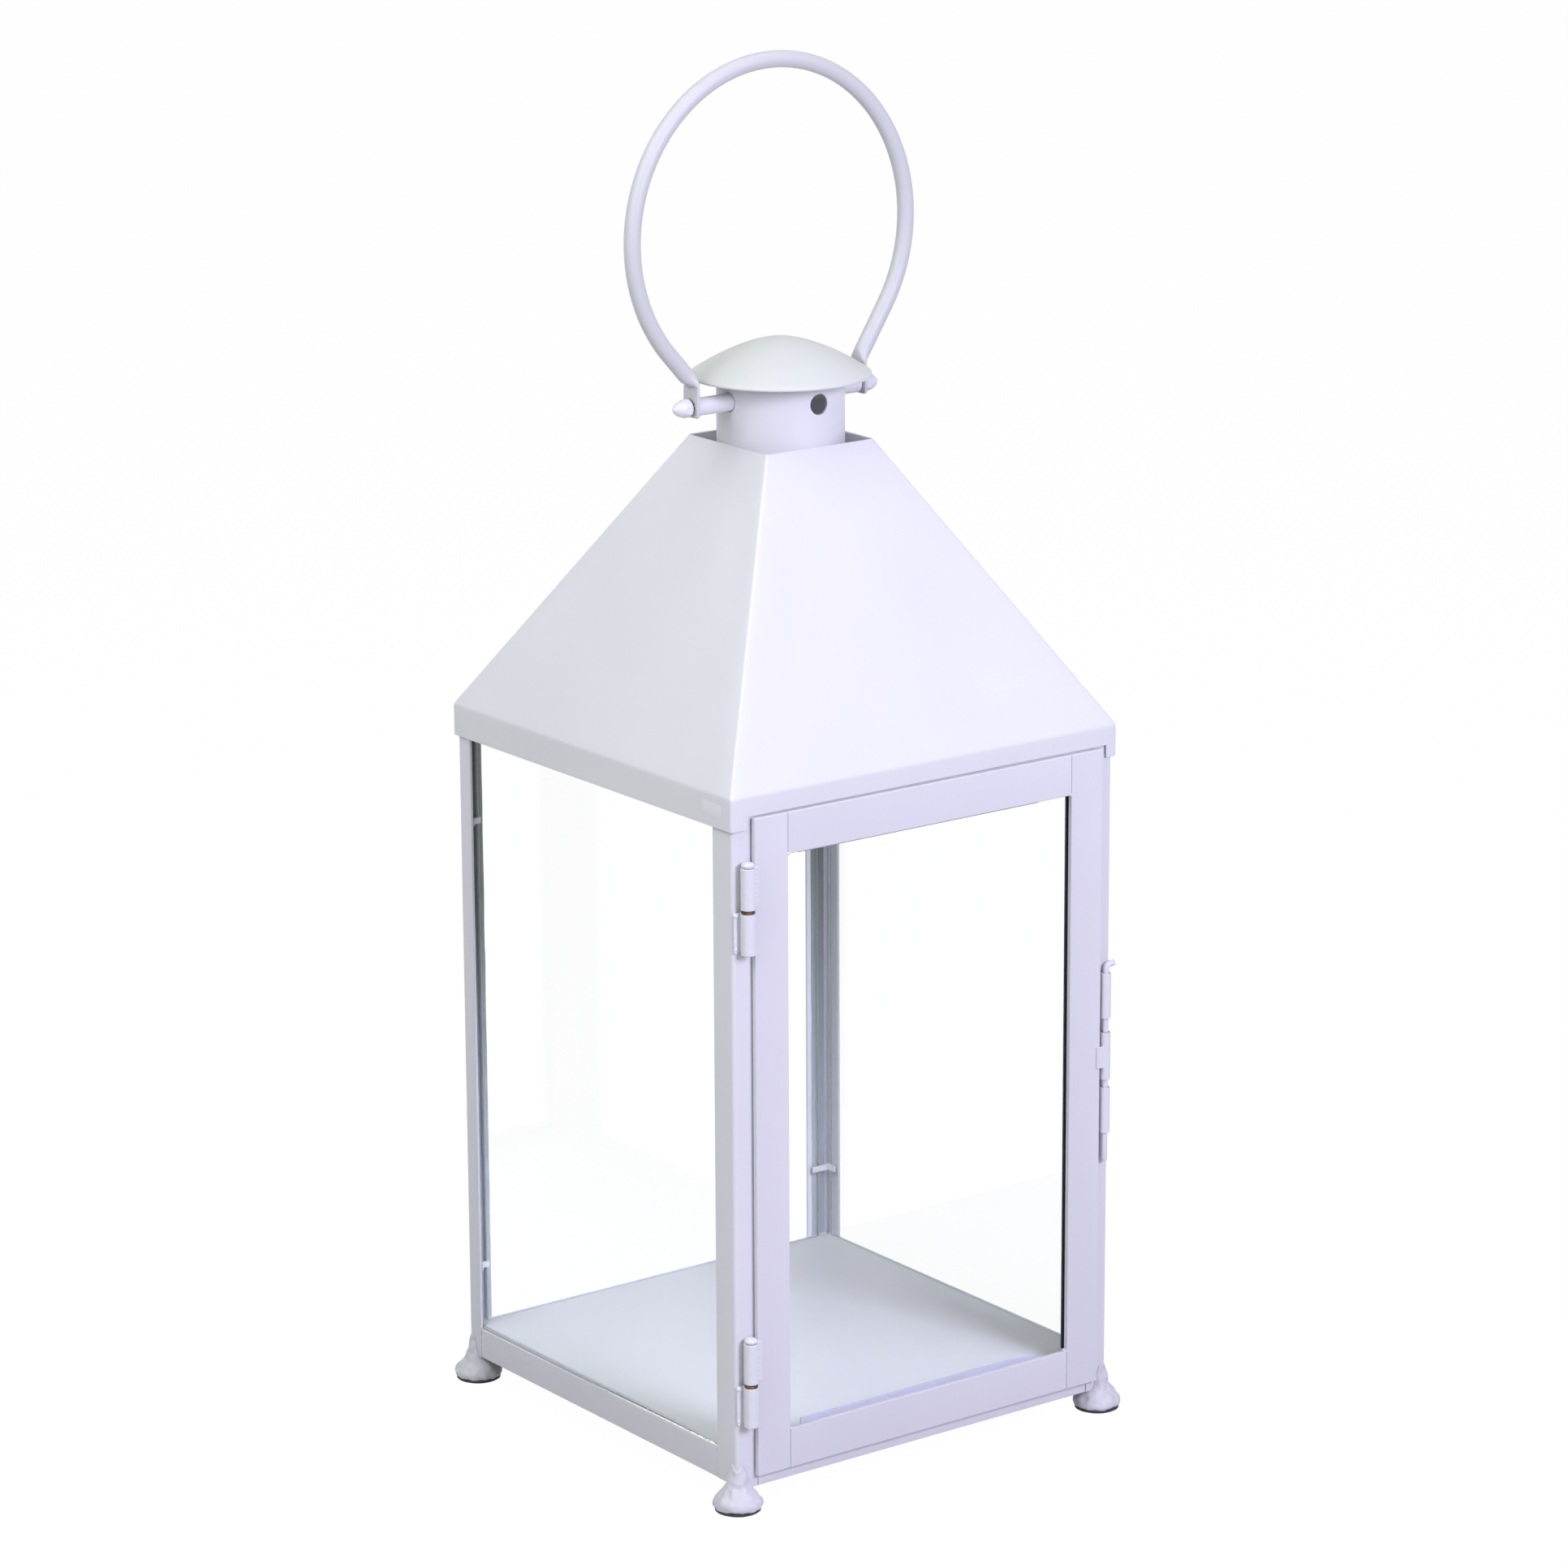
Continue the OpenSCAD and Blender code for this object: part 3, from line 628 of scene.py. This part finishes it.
def roof_ring(half, z, inset, level_share):
    """A rounded square of points, moved in by inset. The notch over the door lifts its lower edge."""
    flat = half - HIP_RADIUS
    points = []
    for side in range(4):
        turn = Matrix.Rotation(side * math.pi / 2, 3, "Z")
        columns = [-1 + 2 * i / SIDE_STEPS for i in range(SIDE_STEPS + 1)]
        if side == 0:
            edge = 0.06 * MM / flat
            skirt_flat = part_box("roof_shell")[1].x - HIP_RADIUS
            for x in NOTCH:
                columns += [x / skirt_flat - edge, x / skirt_flat + edge]
            columns.sort()
        for t in columns:
            bulge = 0.0
            if level_share > 0:
                fade = (1 - t ** 6) * math.sin(math.pi * level_share) ** 0.5
                place = Vector((t * 2.1, level_share * 2.4, side * 7.3))
                bulge = noise.noise(place) * SHEET_WAVES * fade
            height = z
            inside = NOTCH[0] < t * flat < NOTCH[1]
            if side == 0 and inside and z < NOTCH_HEIGHT:
                height = NOTCH_HEIGHT
            points.append(turn @ Vector((t * flat, -half + inset - bulge, height)))
        centre = Vector((flat, -flat, z))
        for k in range(1, HIP_STEPS):
            a = -math.pi / 2 + (math.pi / 2) * k / HIP_STEPS
            corner = centre + Vector((math.cos(a), math.sin(a), 0)) * (HIP_RADIUS - inset)
            points.append(turn @ corner)
    return points


def make_roof():
    """Bent sheet, with slight waves on its slopes and a notch over the door."""
    low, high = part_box("roof_shell")
    levels = roof_profile(high.x, low.z, high.z)
    slope_start = levels[SKIRT_STEPS + BEND_STEPS][1]
    outer, inner = [], []
    for half, z, lean in levels:
        share = max(0.0, (z - slope_start) / (high.z - slope_start))
        outer.append(roof_ring(half, z, 0, share))
        drop = ROOF_SHEET * math.sin(lean)
        inset = ROOF_SHEET * math.cos(lean)
        inner.append(roof_ring(half, z - drop, inset, share))
    bm = loft(outer + inner[::-1], closed=True)
    add_piece("roof_sheet", bm, "white_powder_coat", "lantern_body", ("roof_shell",), ROOF_WHITE, 50)


CAP_SHEET = 1.2 * MM
CAP_LIP = 1.5 * MM
CAP_CURVE = 1.65
CAP_STEPS = 30


def make_cap():
    """Domed cap with a slight point and a rim turned down."""
    low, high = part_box("chimney_cap")
    radius, inner = high.x, high.x - CAP_SHEET

    def dome(r):
        return low.z + CAP_LIP + (high.z - low.z - CAP_LIP) * (1 - (r / radius) ** CAP_CURVE)

    outer = [(radius * i / CAP_STEPS, dome(radius * i / CAP_STEPS)) for i in range(CAP_STEPS)]
    edge = [(radius - 0.35 * MM, dome(radius) + 0.1 * MM), (radius, dome(radius) - 0.45 * MM)]
    edge += [(radius, low.z + 0.3 * MM), (radius - 0.3 * MM, low.z)]
    edge += [(inner + 0.3 * MM, low.z), (inner, low.z + 0.3 * MM)]
    under = []
    for i in range(CAP_STEPS, -1, -1):
        under.append((inner * i / CAP_STEPS, dome(inner * i / CAP_STEPS) - CAP_SHEET))
    bm = revolve(outer + edge + under, Vector((0, 0, 0)), 144)
    add_piece("chimney_cap_spun", bm, "white_powder_coat", "lantern_body", ("chimney_cap",), CAP_WHITE, 60)


# ---- Feet ----

PAD_POINTS = 72
# share of the pad's height from the ground, and how far the edge is drawn in there, in mm
PAD_PROFILE = ((0, 0.5), (0.12, 0.1), (0.5, 0), (0.85, 0.05), (1, 0.35))


def keep_inside(obj, box):
    """Brings back any point that the lumps pushed out of the CAD node's box."""
    low, high = box
    for vert in obj.data.vertices:
        vert.co = Vector(min(max(c, a), b) for c, a, b in zip(vert.co, low, high))


def make_foot(node):
    """A cast bell foot under thick paint."""
    piece = node + "_cast"
    obj = add_piece(piece, cad_shape(node), "white_powder_coat", "lantern_body", (node,), FOOT_WHITE)
    remesh(obj, 0.55 * MM, 5, 0.9 * MM, 4.5 * MM)
    keep_inside(obj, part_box(node))


def make_pad(node, seed):
    """A round pad with a slightly ragged edge."""
    low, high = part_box(node)
    centre = (low + high) / 2
    radius, height = (high.x - low.x) / 2, high.z - low.z
    phase = random.Random(seed).uniform(0, 9)
    rings = []
    for share, inset in PAD_PROFILE:
        ring = []
        for i in range(PAD_POINTS):
            a = 2 * math.pi * i / PAD_POINTS
            x, y = math.cos(a), math.sin(a)
            ragged = noise.noise(Vector((x * 3, y * 3, phase))) * 0.5
            r = radius - (inset + 0.25 + ragged * (1 - share) * 0.5) * MM
            ring.append(Vector((centre.x + r * x, centre.y + r * y, low.z + height * share)))
        rings.append(ring)
    add_piece(node + "_cut", loft(rings), "black_rubber", "lantern_body", (node,))


def make_feet():
    for x_side in ("left", "right"):
        for y_side in ("front", "back"):
            corner = f"{y_side}_{x_side}"
            make_foot("foot_" + corner)
            make_pad("pad_" + corner, seed_from(corner))


# ---- Glass ----

def make_panes():
    """Panes with ground edges: the two faces are clear and the edges green."""
    for node in ("glass_left", "glass_right", "glass_back", "door_glass"):
        low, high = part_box(node)
        size = high - low
        thin = min(range(3), key=lambda i: size[i])
        obj = add_piece(node + "_pane", cad_shape(node), "clear_glass", body_of(node), (node,))
        bevel = obj.modifiers.new("ground_edge", "BEVEL")
        bevel.width = 0.4 * MM
        bevel.segments = 1
        settle(obj, 20)
        obj.data.materials.clear()
        obj.data.materials.append(CLEAR)
        obj.data.materials.append(EDGE)
        for polygon in obj.data.polygons:
            polygon.material_index = 0 if abs(polygon.normal[thin]) > 0.9 else 1
            polygon.use_smooth = False


LIP_SHOWS = 0.3 * MM
LIP_THICKNESS = 0.9 * MM
LIP_SHORTER = 9 * MM


def make_seal_lips():
    """The inner lip of the rubber, down each stile behind the glass."""
    low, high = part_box("door_glass_seal")
    hinge_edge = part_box("door_stile_hinge")[1].x
    latch_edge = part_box("door_stile_latch")[0].x
    for name, edge, outer in (("left", hinge_edge, low.x), ("right", latch_edge, high.x)):
        outward = math.copysign(1, outer - edge)
        bm = bmesh.new()
        made = bmesh.ops.create_cube(bm, size=1)
        size = Vector((abs(outer - edge) + LIP_SHOWS, LIP_THICKNESS, high.z - low.z - LIP_SHORTER))
        middle_x = edge - outward * LIP_SHOWS + outward * size.x / 2
        middle = Vector((middle_x, high.y + size.y / 2, (low.z + high.z) / 2))
        shape = Matrix.Translation(middle) @ Matrix.Diagonal((*size, 1))
        bmesh.ops.transform(bm, matrix=shape, verts=made["verts"])
        lip = add_piece(f"door_seal_lip_{name}", bm, "black_rubber", "door")
        bevel = lip.modifiers.new("round_edges", "BEVEL")
        bevel.width = 0.5 * MM
        bevel.segments = 3
        settle(lip, 60)


# Heights in metres of the painted shade on the back posts: darkest above the first, palest below the
# second.
DARK_ABOVE = 0.3
PALE_BELOW = 0.1
SHADE_STRIP_STEPS = 48
SHADE_STRIP_THICKNESS = 0.14 * MM
SHADE_STRIP_GAP = 0.03 * MM
RAGGED_EDGE = 0.35 * MM
POST_SHEET = 1.5 * MM


def painted_shade_strip():
    """Painted shade: a dark grey-green strip for the shadow under the roof on the inner face of each back
    post, lighter towards the floor where the shade fades, with lighter blotches and grain.
    """
    s = Shader("painted_shade_strip")
    height = s.tree.nodes.new("ShaderNodeSeparateXYZ")
    s.link(s.place, height.inputs[0])
    # Painted shade: dark up high, paler towards the floor.
    lower = s.ramp(height.outputs["Z"], DARK_ABOVE, PALE_BELOW)
    base = s.mix(lower, (0.105, 0.13, 0.115), (0.42, 0.45, 0.48))
    grain = s.noise(1.1 * MM, 4)
    # Lighter blotches in the painted shade.
    dust = s.ramp(s.noise(16 * MM, 4, (1, 1, 0.4)), 0.4, 0.75, 0, 0.22)
    base = s.mix(dust, base, (0.26, 0.3, 0.28))
    s.set("Base Color", s.mix(s.ramp(grain, 0.5, 0.8, 0, 0.2), base, (0.1, 0.12, 0.12)))
    s.set("Roughness", s.ramp(grain, 0.3, 0.7, 0.6, 0.8))
    s.set("Normal", s.bump(grain, 0.05 * MM))
    return s.material


def make_shade_strips():
    """A dark strip on the inner face of each back post, which paints the shade there, with ragged edges.
    """
    material = painted_shade_strip()
    pane_low, pane_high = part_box("glass_back")
    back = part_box("post_back_right")[1].y - POST_SHEET - SHADE_STRIP_GAP
    front = back - SHADE_STRIP_THICKNESS
    bottom, top = pane_low.z + 0.5 * MM, pane_high.z - 1 * MM
    inner = pane_high.x - 4.4 * MM
    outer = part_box("glass_right")[1].x - 3.8 * MM
    for name, side in (("left", -1), ("right", 1)):
        rings = []
        for i in range(SHADE_STRIP_STEPS + 1):
            z = bottom + (top - bottom) * i / SHADE_STRIP_STEPS
            x = inner + noise.noise(Vector((i * 0.31, side * 4.2, 0))) * RAGGED_EDGE
            corners = ((x, back), (outer, back), (outer, front), (x, front))
            rings.append([Vector((side * across, y, z)) for across, y in corners])
        add_piece(f"painted_shade_strip_{name}", loft(rings), "black_rubber", "lantern_body", (), material, 30)


def make_gap_paint():
    """Bits of thick paint that bridge the gap at the left of the floor plate, in the label's brighter
    white, which also paints the light seen through that gap under the plate.
    """
    plate_low, plate_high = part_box("floor_plate")
    rail_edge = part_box("base_rail_left")[1].x
    rng = random.Random(17)
    bm = bmesh.new()
    y = plate_low.y + 20 * MM
    while y < plate_low.y + 92 * MM:
        length = rng.uniform(1.0, 3.6) * MM
        x = rail_edge + rng.uniform(-0.1, 0.25) * MM
        for k in range(4):
            place = Vector((x, y + length * k / 4, plate_high.z - 0.25 * MM))
            lump(bm, place, rng.uniform(0.3, 0.5) * MM, (1.3, 1.4, 0.9))
        y += length + rng.uniform(0.8, 6) * MM
    # Painted light: the bright label film stands for the light seen through the gap.
    piece = add_piece("floor_gap_paint", bm, "white_powder_coat", "lantern_body", (), LABEL, 180)
    remesh(piece, 0.14 * MM, 2)


# ---- Hinges ----

def post_knuckle(node, rng):
    """The knuckle on the post, with a row of small welds and three lumps of paint beside it."""
    low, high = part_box(node)
    bm = cad_shape(node)
    x, y = low.x + 1.3 * MM, high.y - 0.9 * MM
    for i in range(15):
        z = low.z + (0.16 + 0.76 * i / 14) * (high.z - low.z)
        size = rng.uniform(0.75, 0.95) * MM
        lump(bm, Vector((x + rng.uniform(-0.2, 0.2) * MM, y, z)), size, (1.1, 0.8, 1.5))
    for z, size in ((high.z - 1.3 * MM, 1.9), (low.z + 3.2 * MM, 1.3), (low.z + 0.9 * MM, 0.9)):
        lump(bm, Vector((x, y, z)), size * MM, (1.1, 0.7, 0.8))
    obj = add_piece(node + "_welded", bm, "white_powder_coat", "lantern_body", (node,))
    remesh(obj, 0.3 * MM, 3, 0.12 * MM, 3 * MM)


def door_knuckle(node, rng):
    """The knuckle on the door, with larger welds down its leaf."""
    low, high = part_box(node)
    bm = cad_shape(node)
    for i in range(9):
        z = low.z + (0.06 + 0.88 * i / 8) * (high.z - low.z)
        x = high.x - rng.uniform(2.6, 3.4) * MM
        lump(bm, Vector((x, low.y + 5.2 * MM, z)), rng.uniform(1.0, 1.4) * MM, (1.2, 0.9, 1.6))
    obj = add_piece(node + "_welded", bm, "white_powder_coat", "door", (node,))
    remesh(obj, 0.3 * MM, 3, 0.1 * MM, 3 * MM)


def make_hinges():
    for level in ("upper", "lower"):
        rng = random.Random(seed_from(level))
        post_knuckle("hinge_post_knuckle_" + level, rng)
        door_knuckle("hinge_door_knuckle_" + level, rng)


# ---- Handle ----

EAR_THICKNESS = 2.4 * MM
WASHER_THICKNESS = 1 * MM
KNEE_RISE = 15 * MM
SECTION_POINTS = 48
ARC_STEPS = 160
# how far above the ear's lower edge, and the share of its full width there
EAR_TIP = ((0.0, 0.8), (0.25 * MM, 0.88), (0.8 * MM, 0.95), (1.6 * MM, 1.0))
# along the tube from the knee, and the two half sizes of its section there, in mm
FLARE = ((1.2, 3.3, 6.4), (2.4, 4.05, 5.9), (3.8, 4.6, 5.45), (5.4, 4.9, 5.12))


def tube_section(point, out, thick, wide):
    """A rounded section: round when thick and wide are alike, and a flat bar when they are not."""
    power = 1 - 0.62 * smooth_step((wide / thick - 1) / 4)
    points = []
    for i in range(SECTION_POINTS):
        a = 2 * math.pi * i / SECTION_POINTS
        c, s = math.cos(a), math.sin(a)
        u = math.copysign(abs(c) ** power, c) * thick
        v = math.copysign(abs(s) ** power, s) * wide
        points.append(point + out * u + Vector((0, v, 0)))
    return points


def make_handle():
    """One bent tube: an arc with two straight ends, each pressed flat into an ear below a crease."""
    low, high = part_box("handle_ring")
    tube = high.y
    ring = (high.x - low.x) / 2 - tube
    centre = Vector(((high.x + low.x) / 2, 0, high.z - tube - ring))
    washers_low, washers_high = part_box("lock_washers")
    inset = WASHER_THICKNESS + EAR_THICKNESS / 2
    ear_low, ear_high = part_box("handle_ears")
    ear_wide, thin = ear_high.y, EAR_THICKNESS / 2
    knee_z = pivot.z + KNEE_RISE

    def end_rings(side):
        """From the ear's lower edge to the start of the arc, and the arc's angle there."""
        x = washers_high.x - inset if side > 0 else washers_low.x + inset
        knee = Vector((x, 0, knee_z))
        offset = knee - centre
        turn = math.acos(ring / offset.length)
        angle = math.atan2(offset.z, offset.x) + side * turn
        radial = Vector((math.cos(angle), 0, math.sin(angle)))
        arc_start = centre + radial * ring
        ear_out = Vector((side, 0, 0))
        bottom = ear_low.z
        rings = []
        for rise, share in EAR_TIP:
            squash = 0.75 if rise == 0 else 1
            place = Vector((x, 0, bottom + rise))
            rings.append(tube_section(place, ear_out, thin * squash, ear_wide * share))
        flat_top = knee_z - 2.5 * MM
        for t in (0.3, 0.5, 0.7, 0.85, 0.95):
            place = Vector((x, 0, bottom + (flat_top - bottom) * t))
            rings.append(tube_section(place, ear_out, thin, ear_wide))
        pinch = Vector((x - side * 0.1 * MM, 0, flat_top))
        rings.append(tube_section(pinch, ear_out, 0.75 * MM, ear_wide * 0.99))
        middle = (ear_out + radial).normalized()
        place = knee - Vector((0, 0, 0.9 * MM))
        rings.append(tube_section(place, middle, 2.2 * MM, ear_wide * 0.96))
        path = (arc_start - knee).normalized()
        for along, thick, wide in FLARE:
            rings.append(tube_section(knee + path * (along * MM), radial, thick * MM, wide * MM))
        length = (arc_start - knee).length
        for t in (7.2 * MM / length, 0.55, 0.8):
            rings.append(tube_section(knee.lerp(arc_start, t), radial, tube, tube))
        return rings, angle

    right, start = end_rings(1)
    left, end = end_rings(-1)
    end = end % (2 * math.pi)
    arc = []
    for i in range(ARC_STEPS + 1):
        a = start + (end - start) * i / ARC_STEPS
        out = Vector((math.cos(a), 0, math.sin(a)))
        arc.append(tube_section(centre + out * ring, out, tube, tube))
    bm = loft(right + arc + left[::-1])
    replaced = ("handle_ring", "handle_ears")
    add_piece("handle_tube", bm, "white_powder_coat", "handle", replaced, HANDLE_WHITE, 34)


def hexagon_radius(turn, half_flats):
    """Distance to the side of a hexagon whose corners point up and down."""
    third = math.pi / 3
    return half_flats / math.cos((turn % third) - third / 2)


NUT_LENGTH = 11.5 * MM
NUT_POINTS = 72
# along the nut from its flat end, and its radius there, in mm: first six-sided, then round
NUT_HEXAGON = ((0, 4.9), (0.5, 5.35), (1.2, 5.62), (3.7, 5.62), (4.4, 5.4), (4.9, 5.05))
NUT_DOME = ((5.2, 4.8), (6.0, 4.68), (7.0, 4.4), (8.0, 3.95), (8.9, 3.35), (9.7, 2.65), (10.4, 1.85),
            (10.9, 1.25), (11.25, 0.85), (11.42, 0.45))

WASHER_HALF = 0.22
WASHER_INNER = 3.1
WASHER_OUTER = 4.9
WASHER_TEETH = 15
TOOTH_SIZE = (0.95 * MM, 0.34 * MM, 1.5 * MM)
TOOTH_RADIUS = 5.1 * MM
TOOTH_TWIST = math.radians(52)


def make_nuts():
    """Acorn nuts under paint, with chamfered corners and a pointed dome."""
    low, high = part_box("acorn_nuts")
    half_flats = high.y
    for name, side, tip in (("right", 1, high.x), ("left", -1, low.x)):
        start = tip - side * NUT_LENGTH
        rings = []
        for along, limit in NUT_HEXAGON + NUT_DOME:
            ring = []
            for i in range(NUT_POINTS):
                turn = 2 * math.pi * i / NUT_POINTS
                radius = limit * MM
                if (along, limit) in NUT_HEXAGON:
                    radius = min(radius, hexagon_radius(turn, half_flats))
                y, z = radius * math.sin(turn), pivot.z + radius * math.cos(turn)
                ring.append(Vector((start + side * along * MM, y, z)))
            rings.append(ring)
        piece = f"acorn_nut_{name}"
        add_piece(piece, loft(rings), "white_powder_coat", "handle", ("acorn_nuts",), None, 42)


def make_washers():
    """Rings in a near-black copy of the zinc steel, which paints the shade between the teeth, with bright
    twisted teeth.
    """
    low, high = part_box("lock_washers")
    y_axis, z_axis = Vector((0, 1, 0)), Vector((0, 0, 1))
    section = ((WASHER_INNER, -1), (WASHER_OUTER, -1), (WASHER_OUTER, 1), (WASHER_INNER, 1))
    for name, side, outer in (("right", 1, high.x), ("left", -1, low.x)):
        middle = outer - side * WASHER_THICKNESS / 2
        rings = []
        for radius, face in section:
            place = Vector((middle + face * WASHER_HALF * MM, 0, pivot.z))
            rings.append(ring_points(place, y_axis, z_axis, radius * MM, 72))
        bm = loft(rings, closed=True)
        ring_faces = len(bm.faces)
        for i in range(WASHER_TEETH):
            turn = 2 * math.pi * i / WASHER_TEETH
            made = bmesh.ops.create_cube(bm, size=1)
            stand = Matrix.Translation((middle, 0, pivot.z)) @ Matrix.Rotation(turn, 4, "X")
            tilt = Matrix.Rotation(TOOTH_TWIST, 4, "Z")
            shape = Matrix.Diagonal((*TOOTH_SIZE, 1))
            place = stand @ Matrix.Translation((0, 0, TOOTH_RADIUS)) @ tilt @ shape
            bmesh.ops.transform(bm, matrix=place, verts=made["verts"])
        piece = f"lock_washer_{name}"
        washer = add_piece(piece, bm, "zinc_steel", "handle", ("lock_washers",), SHADED_STEEL, 30)
        washer.data.materials.append(STEEL)
        for polygon in washer.data.polygons:
            polygon.material_index = int(polygon.index >= ring_faces)


# ---- Latch pin and label ----

PIN_POINTS = 32
PIN_STEPS = 8
PIN_BEND = 3 * MM
PIN_BEND_STEPS = 10


def make_latch():
    """Drop pin: a straight rod with a rounded tip, bent over at its top."""
    low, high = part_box("latch_pin")
    radius = (high.y - low.y) / 2
    x, y = low.x + radius, (low.y + high.y) / 2
    top = high.z - radius
    across = Vector((0, 1, 0))
    rings = []

    def add_ring(place, inward, share=1):
        rings.append(ring_points(place, inward, across, radius * share, PIN_POINTS))

    for up, share in ((0, 0.72), (0.4, 0.93), (1.0, 1)):
        add_ring(Vector((x, y, low.z + up * MM)), Vector((1, 0, 0)), share)
    for i in range(1, PIN_STEPS + 1):
        z = low.z + 1 * MM + (top - PIN_BEND - low.z - 1 * MM) * i / PIN_STEPS
        add_ring(Vector((x, y, z)), Vector((1, 0, 0)))
    for i in range(1, PIN_BEND_STEPS + 1):
        a = math.pi - (math.pi / 2) * i / PIN_BEND_STEPS
        inward = Vector((-math.cos(a), 0, -math.sin(a)))
        add_ring(Vector((x + PIN_BEND, y, top - PIN_BEND)) - inward * PIN_BEND, inward)
    reach = high.x - (x + PIN_BEND)
    for along, share in ((0.5, 1), (0.8, 1), (0.93, 0.97), (0.975, 0.85), (0.995, 0.6), (1.0, 0.3)):
        add_ring(Vector((x + PIN_BEND + reach * along, y, top)), Vector((0, 0, -1)), share)
    add_piece("latch_pin_bent", loft(rings), "white_powder_coat", "latch_pin", ("latch_pin",), None, 45)


# along y and z, in mm
LABEL_MIDDLE = (-123.6, 422.5)
LABEL_HALF = (9.3, 3.8)
LABEL_CORNER = 0.6
LABEL_POINTS = 32


def make_label():
    """A blank film label on the left of the skirt."""
    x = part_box("roof_shell")[0].x - 0.02 * MM
    flat_y, flat_z = (half - LABEL_CORNER for half in LABEL_HALF)
    rings = []
    for out, shrink in ((0.0, 0.0), (0.1, 0.0), (0.14, 0.1)):
        ring = []
        for i in range(LABEL_POINTS):
            a = 2 * math.pi * (i + 0.5) / LABEL_POINTS
            c, s = math.cos(a), math.sin(a)
            y = LABEL_MIDDLE[0] + math.copysign(flat_y, c) + (LABEL_CORNER - shrink) * c
            z = LABEL_MIDDLE[1] + math.copysign(flat_z, s) + (LABEL_CORNER - shrink) * s
            ring.append(Vector((x - out * MM, y * MM, z * MM)))
        rings.append(ring)
    add_piece("blank_label", loft(rings), "white_powder_coat", "lantern_body", (), LABEL, 30)


make_camera()
make_studio()
make_bars()
make_welds()
make_roof()
make_cap()
make_feet()
make_panes()
make_seal_lips()
make_shade_strips()
make_gap_paint()
make_hinges()
make_latch()
make_label()
make_handle()
make_nuts()
make_washers()

for node_name, cad_object in nodes.items():
    if not cad_object.hide_render:
        cad_object.data.materials.clear()
        cad_object.data.materials.append(SLOT_MATERIALS[SLOTS[node_name]])
